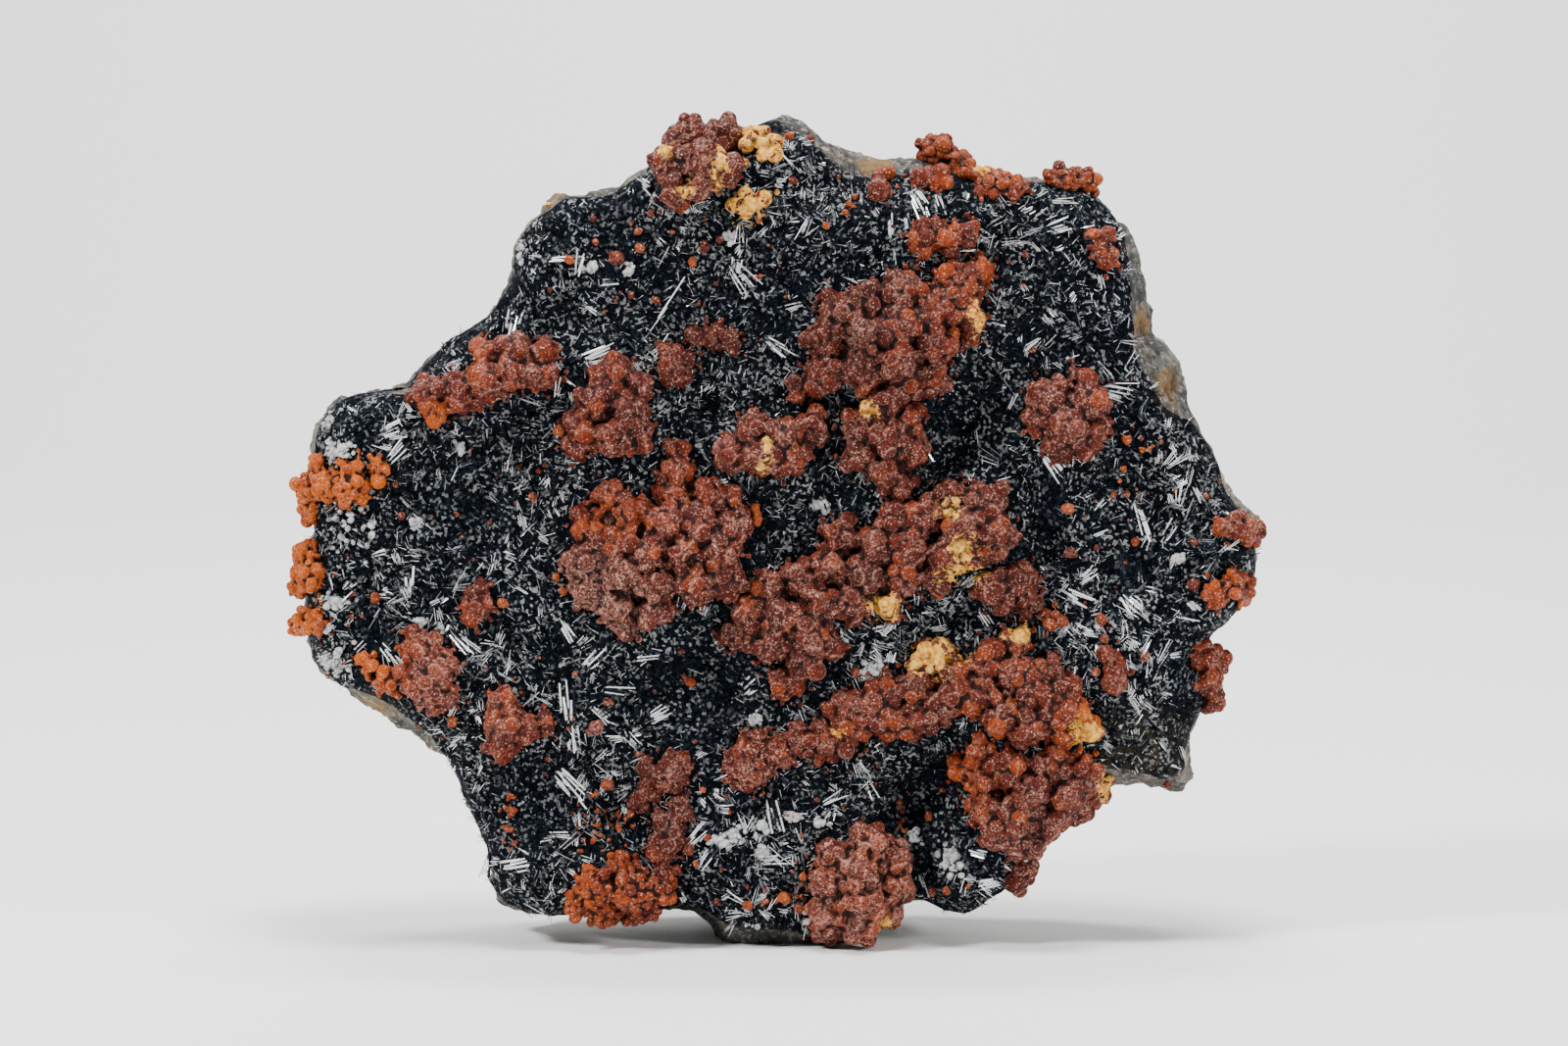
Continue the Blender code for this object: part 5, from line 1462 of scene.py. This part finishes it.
@dataclass
class Blades:
    """Rows of needle blades, each with its root, direction, broad axis, length, width and painted highlight.
    """

    root: np.ndarray
    run: np.ndarray
    broad: np.ndarray
    length: np.ndarray
    width: np.ndarray
    painted_glint: np.ndarray

    def prisms(self, thick: float, taper: float) -> Skin:
        """Flat four-sided prisms: corners at plus and minus half the width and thickness, slimmer at the tip.

        Args:
            thick: Thickness as a share of the width.
            taper: Size of the tip as a share of the root.

        Returns:
            The blades as squares.
        """
        flat = np.cross(self.run, self.broad)
        half = (self.width / 2.0)[:, None]
        signs = ((-1.0, -1.0), (1.0, -1.0), (1.0, 1.0), (-1.0, 1.0))
        ring = np.stack([half * (a * self.broad + b * thick * flat) for a, b in signs], axis=1)
        tip = self.root + self.run * self.length[:, None]
        points = np.concatenate([self.root[:, None] + ring, tip[:, None] + ring * taper], axis=1)
        unit = np.array([
            [0, 3, 2, 1], [4, 5, 6, 7], [0, 1, 5, 4], [1, 2, 6, 5], [2, 3, 7, 6], [3, 0, 4, 7]])
        faces = unit[None] + (np.arange(len(self.root)) * 8)[:, None, None]
        return Skin(points.reshape(-1, 3), faces.reshape(-1, 4))

    def spikes(self) -> Skin:
        """Thin spikes with three sides: three corners at the root and one at the tip.

        Returns:
            The spikes as triangles.
        """
        flat = np.cross(self.run, self.broad)
        angles = np.array([0.0, math.tau / 3.0, 2.0 * math.tau / 3.0])[None, :, None]
        ring = np.cos(angles) * self.broad[:, None] + np.sin(angles) * flat[:, None]
        base = self.root[:, None] + ring * (self.width / 2.0)[:, None, None]
        tip = self.root + self.run * self.length[:, None]
        points = np.concatenate([base, tip[:, None]], axis=1)
        unit = np.array([[0, 2, 1], [0, 1, 3], [1, 2, 3], [2, 0, 3]])
        faces = unit[None] + (np.arange(len(self.root)) * 4)[:, None, None]
        return Skin(points.reshape(-1, 3), faces.reshape(-1, 3))

    def wedges(self, taper: float) -> Skin:
        """Slim prisms with three sides: the corners at the tip are those at the root, drawn in.

        Args:
            taper: Size of the tip as a share of the root.

        Returns:
            The blades as triangles.
        """
        flat = np.cross(self.run, self.broad)
        half = (self.width / 2.0)[:, None]
        corners = ((-1.0, 0.35), (1.0, 0.35), (0.0, -0.6))
        ring = np.stack([half * (a * self.broad + b * flat) for a, b in corners], axis=1)
        tip = self.root + self.run * self.length[:, None]
        points = np.concatenate([self.root[:, None] + ring, tip[:, None] + ring * taper], axis=1)
        unit = np.array([
            [0, 1, 2], [3, 5, 4], [0, 4, 1], [0, 3, 4], [1, 5, 2], [1, 4, 5], [2, 3, 0], [2, 5, 3]])
        faces = unit[None] + (np.arange(len(self.root)) * 6)[:, None, None]
        return Skin(points.reshape(-1, 3), faces.reshape(-1, 3))

    def shine(self, corners: int) -> np.ndarray:
        """The painted highlight of each blade repeated for each of its points."""
        return np.repeat(self.painted_glint, corners)


@dataclass
class NeedleField:
    """All needles on the crust."""

    face: FaceMap
    crust: FaceMap
    growths: FaceMap
    noise: Lattice
    tufts: int = 12000
    tuft_size: int = 4
    strewn: int = 3800
    bundles: int = 6200
    seed: int = 67
    droop: float = 0.7

    def free(self, x: np.ndarray, z: np.ndarray) -> np.ndarray:
        """Whether a place lies on the crust and no growth stands in front of it."""
        behind = self.growths.depth(x, z) > self.face.depth(x, z) - 0.25
        return self.crust.carries(x, z) & (behind | ~self.growths.covers(x, z))

    def sown(self, count: int, dice: np.random.Generator) -> np.ndarray:
        """Random free places, thinned out where the rock's grains show.

        Args:
            count: Most places to keep.
            dice: Random numbers.

        Returns:
            Places across and up.
        """
        wild_x = dice.uniform(-HALF_WIDTH, HALF_WIDTH, count * 3)
        flat = np.stack([wild_x, dice.uniform(0.5, HEIGHT + 0.5, count * 3)], axis=1)
        flat = flat[self.free(flat[:, 0], flat[:, 1])]
        bare = bells(flat[:, 0], flat[:, 1], GRITS)
        flat = flat[dice.uniform(size=len(flat)) > 0.72 * bare]
        return flat[:count]

    def laid(
        self, flat: np.ndarray, angle: np.ndarray, lift: np.ndarray, length: np.ndarray, width: np.ndarray,
        painted_glint: np.ndarray, roll: np.ndarray, sink: float
    ) -> Blades:
        """Lays blades on the face: the run leans out of the slope by the lift, the broad side rolls about it.

        Args:
            flat: Root places across and up.
            angle: Directions as seen from the front.
            lift: Angles out of the face.
            length: Lengths.
            width: Widths.
            painted_glint: Painted highlight, 0 to 1.
            roll: Turns about the run.
            sink: Depth of the roots below the face.

        Returns:
            The blades.
        """
        slope = self.face.slopes(flat[:, 0], flat[:, 1])
        outward = np.stack([slope[:, 0], -np.ones(len(flat)), slope[:, 1]], axis=1)
        outward /= np.linalg.norm(outward, axis=1, keepdims=True)
        climb = slope[:, 0] * np.cos(angle) + slope[:, 1] * np.sin(angle)
        along = np.stack([np.cos(angle), climb, np.sin(angle)], axis=1)
        along /= np.linalg.norm(along, axis=1, keepdims=True)
        lift = lift / (1.0 + self.droop * np.linalg.norm(slope, axis=1))
        run = along * np.cos(lift)[:, None] + outward * np.sin(lift)[:, None]
        across = np.cross(outward, run)
        across /= np.linalg.norm(across, axis=1, keepdims=True)
        broad = across * np.cos(roll)[:, None] + np.cross(run, across) * np.sin(roll)[:, None]
        depth = self.face.depth(flat[:, 0], flat[:, 1])
        root = np.stack([flat[:, 0], depth, flat[:, 1]], axis=1) - outward * sink
        return Blades(root, run, broad, length, width, painted_glint)

    def velvet(self, dice: np.random.Generator) -> Blades:
        """Small tufts of fine short spikes that lean every way.

        Args:
            dice: Random numbers.

        Returns:
            The spikes.
        """
        seeds = self.sown(self.tufts, dice)
        count = len(seeds) * self.tuft_size
        flat = np.repeat(seeds, self.tuft_size, axis=0) + dice.normal(0.0, 0.24, (count, 2))
        soft = bells(flat[:, 0], flat[:, 1], VELVETS)
        angle = np.repeat(dice.uniform(0.0, math.tau, len(seeds)), self.tuft_size)
        angle += dice.normal(0.0, 0.8, count)
        lift = np.radians(dice.uniform(18.0, 80.0, count))
        length = dice.uniform(0.5, 1.5, count) * (1.0 - 0.3 * soft)
        width = dice.uniform(0.10, 0.24, count)
        places = np.stack([flat[:, 0], np.zeros(count), flat[:, 1]], axis=1)
        share = dice.uniform(0.0, 1.0, count) + 0.05 * self.noise.layers(places + 70.0, 8.0, 3)
        # Painted highlights: a few needles silver, some steel, the rest near black
        painted_glint = np.where(share > 0.968, 0.95, np.where(share > 0.91, 0.48, 0.16 * share))
        painted_glint *= 1.0 - 0.70 * soft
        return self.laid(flat, angle, lift, length, width, painted_glint, dice.uniform(0.0, 3.0, count), 0.2)

    def bundle_rows(self, dice: np.random.Generator) -> np.ndarray:
        """Random bundles, more of them where a cloud is dense and fewer on velvet.

        Args:
            dice: Random numbers.

        Returns:
            Rows of x, z, angle, length, width, number, fan, painted highlight and lift.
        """
        seeds = self.sown(self.bundles, dice)
        places = np.stack([seeds[:, 0], np.zeros(len(seeds)), seeds[:, 1]], axis=1)
        cloud = self.noise.layers(places, 13.0, 2)
        soft = bells(seeds[:, 0], seeds[:, 1], VELVETS)
        kept = dice.uniform(size=len(seeds)) < np.clip(0.66 + 0.75 * cloud, 0.15, 1.0) * (1.0 - 0.75 * soft)
        seeds, cloud, soft = seeds[kept], cloud[kept], soft[kept]
        count = len(seeds)
        angle = dice.uniform(0.0, math.tau, count)
        length = (1.3 + dice.gamma(1.8, 0.80, count)).clip(1.3, 5.8)
        width = dice.uniform(0.11, 0.21, count)
        number = dice.integers(2, 8, count)
        fan = np.radians(dice.uniform(2.0, 22.0, count))
        share = dice.uniform(0.0, 1.0, count) + 0.22 * cloud
        # Painted highlights of the bundles
        painted_glint = np.where(share > 0.82, 1.0, np.where(share > 0.60, 0.57, 0.06))
        painted_glint *= 1.0 - 0.5 * soft
        lift = np.radians(dice.uniform(2.0, 42.0, count) * (1.25 - length / 6.0))
        return np.stack([seeds[:, 0], seeds[:, 1], angle, length, width, number, fan, painted_glint, lift], axis=1)

    def spray_rows(self, dice: np.random.Generator) -> np.ndarray:
        """The conspicuous bundles, of thin blades side by side.

        Args:
            dice: Random numbers.

        Returns:
            Rows as of the random bundles.
        """
        rows = np.array(SPRAYS)
        count = len(rows)
        angle = np.radians(rows[:, 2])
        x = rows[:, 0] + MEASURE_SHIFT - 0.5 * rows[:, 3] * np.cos(angle)
        z = rows[:, 1] - 0.5 * rows[:, 3] * np.sin(angle)
        fan = np.radians(np.maximum(rows[:, 6], 3.0))
        number = np.rint(rows[:, 5] * 1.6)
        lift = np.radians(dice.uniform(6.0, 18.0, count))
        # Every spray gets the full painted highlight
        shine = np.ones(count)
        return np.stack([x, z, angle, rows[:, 3], rows[:, 4] * 0.42, number, fan, shine, lift], axis=1)

    def fanned(self, rows: np.ndarray, dice: np.random.Generator, uneven: float) -> Blades:
        """Spreads each bundle into blades side by side, turned about its root by its fan.

        Args:
            rows: Bundles.
            dice: Random numbers.
            uneven: Spread of the painted highlight within a bundle.

        Returns:
            The blades.
        """
        number = rows[:, 5].astype(int)
        each = np.repeat(np.arange(len(rows)), number)
        first = np.repeat(np.cumsum(number) - number, number)
        place = (np.arange(len(each)) - first + 0.5) / number[each] - 0.5
        x, z, angle, length, width, _, fan, painted_glint, lift = rows[each].T
        turn = angle + fan * place + dice.normal(0.0, 0.06, len(each))
        side = width * number[each] * place * 0.98
        start = length * dice.uniform(-0.10, 0.22, len(each))
        flat = np.stack([
            x - np.sin(angle) * side + np.cos(angle) * start,
            z + np.cos(angle) * side + np.sin(angle) * start], axis=1)
        length = length * dice.uniform(0.50, 0.92, len(each))
        # Painted highlight varied from blade to blade
        painted_glint = np.clip(painted_glint + dice.normal(0.0, uneven, len(each)), 0.0, 1.0)
        painted_glint = np.where(dice.uniform(size=len(each)) < 0.20, painted_glint * 0.3, painted_glint)
        roll = dice.normal(0.0, 0.35, len(each))
        width = width * dice.uniform(0.65, 1.15, len(each))
        lift = lift + dice.normal(0.0, 0.06, len(each))
        return self.laid(flat, turn, lift, length, width, painted_glint, roll, 0.12)

    def glints(self, dice: np.random.Generator) -> Blades:
        """Short needles strewn over the crust, most with a strong painted highlight.

        Args:
            dice: Random numbers.

        Returns:
            The needles.
        """
        flat = self.sown(self.strewn, dice)
        count = len(flat)
        soft = bells(flat[:, 0], flat[:, 1], VELVETS)
        angle = dice.uniform(0.0, math.tau, count)
        lift = np.radians(dice.uniform(0.0, 35.0, count))
        length = dice.uniform(0.5, 1.9, count) * (1.0 - 0.4 * soft)
        width = dice.uniform(0.11, 0.22, count)
        # Strong painted highlights on the strewn needles
        painted_glint = dice.uniform(0.55, 1.0, count) * (1.0 - 0.35 * soft)
        return self.laid(flat, angle, lift, length, width, painted_glint, dice.normal(0.0, 0.5, count), 0.02)

    def build(self) -> list[bpy.types.Object]:
        """Makes the velvet, the strewn needles, the bundles and the sprays.

        Returns:
            The pieces.
        """
        dice = np.random.default_rng(self.seed)
        velvet = self.velvet(dice)
        strewn = self.glints(dice)
        small = self.fanned(self.bundle_rows(dice), dice, 0.16)
        large = self.fanned(self.spray_rows(dice), dice, 0.10)
        return [
            make_piece("needle_velvet", velvet.spikes(), {"painted_glint": velvet.shine(4)}, smooth=False),
            make_piece("needles_strewn", strewn.spikes(), {"painted_glint": strewn.shine(4)}, smooth=False),
            make_piece("needle_bundles", small.wedges(0.6), {"painted_glint": small.shine(6)}, smooth=False),
            make_piece("needle_sprays", large.prisms(0.6, 0.7), {"painted_glint": large.shine(8)}, smooth=False),
        ]

    def dress(self, pieces: Sequence[bpy.types.Object], material: bpy.types.Material) -> None:
        """Gives all needles their finish."""
        for piece in pieces:
            settle(piece, Slot.NEEDLES, material)


@dataclass
class Softbox:
    """One soft lamp."""

    name: str
    place: tuple[float, float, float]
    aim: tuple[float, float, float]
    size: float
    power: float

    def build(self) -> None:
        """Makes the lamp and turns it to its aim."""
        data = bpy.data.lights.new(self.name, "AREA")
        data.shape = "SQUARE"
        data.size = self.size
        data.energy = self.power
        lamp = bpy.data.objects.new(self.name, data)
        bpy.context.scene.collection.objects.link(lamp)
        aim_at(lamp, self.place, self.aim)


def aim_at(item: bpy.types.Object, place: Sequence[float], aim: Sequence[float]) -> None:
    """Puts a lamp or camera at a place and turns its own -Z towards the aim, level with the floor.

    Args:
        item: The lamp or camera.
        place: Where it stands.
        aim: What it looks at.
    """
    away = np.array(aim) - np.array(place)
    flat = math.hypot(away[0], away[1])
    item.location = place
    item.rotation_euler = (math.pi / 2.0 + math.atan2(away[2], flat), 0.0, -math.atan2(away[0], away[1]))


@dataclass
class Studio:
    """Floor, lamps and camera."""

    frame_width: float = 0.240
    lens: float = 100.0
    sensor: float = 36.0
    rise: float = 3.5
    aim: tuple[float, float, float] = (0.00072, -0.012, 0.0649)
    paper_near: float = -3.0
    paper_far: float = 1.2
    paper_bend: float = 0.8
    paper_wall: float = 3.0
    paper_half: float = 4.0
    softboxes: list[Softbox] = field(default_factory=lambda: [
        Softbox("key_left", (-0.62, -0.42, 0.62), (0.0, 0.0, 0.06), 0.16, 11.0),
        Softbox("key_right", (0.70, -0.46, 0.34), (0.0, 0.0, 0.06), 0.16, 5.4),
        Softbox("top", (0.05, -0.12, 0.80), (0.0, -0.01, 0.06), 0.24, 7.6),
        Softbox("backdrop", (0.0, 0.55, 1.60), (0.0, 1.9, 0.5), 0.8, 60.0),
    ])

    def build_floor(self) -> None:
        """A paper sweep: level, a quarter circle, then upright; u runs across and v along the profile."""
        v = np.linspace(0.0, 1.0, 60)
        bend = np.clip((v - 0.5) / 0.2, 0.0, 1.0) * math.pi / 2.0
        level = self.paper_near + v * 2.0 * (self.paper_far - self.paper_near)
        y = np.where(v < 0.5, level, self.paper_far + self.paper_bend * np.sin(bend))
        z = self.paper_bend * (1.0 - np.cos(bend)) + np.clip((v - 0.7) / 0.3, 0.0, 1.0) * self.paper_wall
        u = np.linspace(-self.paper_half, self.paper_half, 20)
        grid_u, grid_y = np.meshgrid(u, y, indexing="ij")
        grid_z = np.broadcast_to(z, grid_u.shape)
        points = np.stack([grid_u, grid_y, grid_z], axis=-1).reshape(-1, 3) / MM
        row = np.arange(len(u) - 1)[:, None] * len(v) + np.arange(len(v) - 1)[None]
        faces = np.stack([row, row + len(v), row + len(v) + 1, row + 1], axis=-1).reshape(-1, 4)
        floor = make_piece("paper_sweep", Skin(points, faces))
        floor.data.materials.append(FloorFinish().make())

    def build_camera(self) -> None:
        """Looks at the face from a little above, as far off as its lens needs for the frame's width."""
        away = self.frame_width * self.lens / self.sensor
        data = bpy.data.cameras.new("camera")
        data.lens = self.lens
        data.sensor_width = self.sensor
        data.clip_start = 0.01
        data.clip_end = 20.0
        camera = bpy.data.objects.new("camera", data)
        bpy.context.scene.collection.objects.link(camera)
        rise = math.radians(self.rise)
        x, y, z = self.aim
        aim_at(camera, (x, y - away * math.cos(rise), z + away * math.sin(rise)), self.aim)
        bpy.context.scene.camera = camera

    def build_sky(self, colour: Colour = (0.80, 0.82, 0.85, 1.0), strength: float = 0.17) -> None:
        """Lights the scene with a dim, even sky.

        Args:
            colour: The sky's colour.
            strength: Its brightness.
        """
        world = bpy.data.worlds.new("sky")
        world.use_nodes = True
        background = world.node_tree.nodes["Background"]
        background.inputs["Color"].default_value = colour
        background.inputs["Strength"].default_value = strength
        bpy.context.scene.world = world

    def build(self) -> None:
        """Sets up everything that isn't the specimen."""
        self.build_floor()
        self.build_camera()
        self.build_sky()
        for softbox in self.softboxes:
            softbox.build()


BASE_TONES = {Slot.RED: 0.46, Slot.ORANGE: 0.95, Slot.YELLOW: 0.80}
POWDER = 0.62
FINE_GRAINED = (
    "yellow_crust_left_edge", "orpiment_top_corner", "orpiment_top_chain", "orpiment_right_edge_middle",
)


@dataclass
class Specimen:
    """The plate with all that grows on it."""

    noise: Lattice = field(default_factory=lambda: Lattice(5))

    def slots(self) -> dict[str, Slot]:
        """Slot of each growth's node, as the record gives it."""
        slots = {row["node"]: Slot(row["material_slot"]) for row in frame["record"]["subparts"]}
        return {node: slot for node, slot in slots.items() if slot in BASE_TONES}

    def build(self) -> None:
        """Builds and dresses rock, crust, growths, nodules, grains and needles in this order."""
        plate = RockPlate()
        rock = plate.build(self.noise)
        plate.dress(rock, RockFinish().make())
        crust = NeedleCrust()
        felt = crust.build(self.noise)
        crust.dress(felt, CrustFinish().make())
        face = FaceMap([rock, felt], even=2)
        orpiment = OrpimentFinish("orpiment").make()
        growths = []
        for seed, (node, slot) in enumerate(self.slots().items()):
            if slot is Slot.ORANGE or node in FINE_GRAINED:
                growth = OrpimentGrowth.fine_grained(node, slot)
            else:
                growth = OrpimentGrowth(
                    node, slot, BASE_TONES[slot], powder=POWDER if slot is Slot.YELLOW else 0.0)
            piece = growth.build(face, self.noise, seed + 100)
            growth.dress(piece, orpiment)
            growths.append(piece)
        needles = NeedleField(face, FaceMap([felt]), FaceMap(growths), self.noise)
        needles.dress(needles.build(), NeedleFinish().make())
        nodules = SmallNodules(face)
        nodules.dress(nodules.build(self.noise), orpiment)
        grains = PaleGrains(face)
        grains.dress(grains.build(needles.free, self.noise), GrainFinish().make())


def write_sizes() -> None:
    """Updates the view layer."""
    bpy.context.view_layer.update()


def main() -> None:
    """Builds the specimen and the studio."""
    Specimen().build()
    Studio().build()
    write_sizes()


if __name__ == "__main__":
    main()
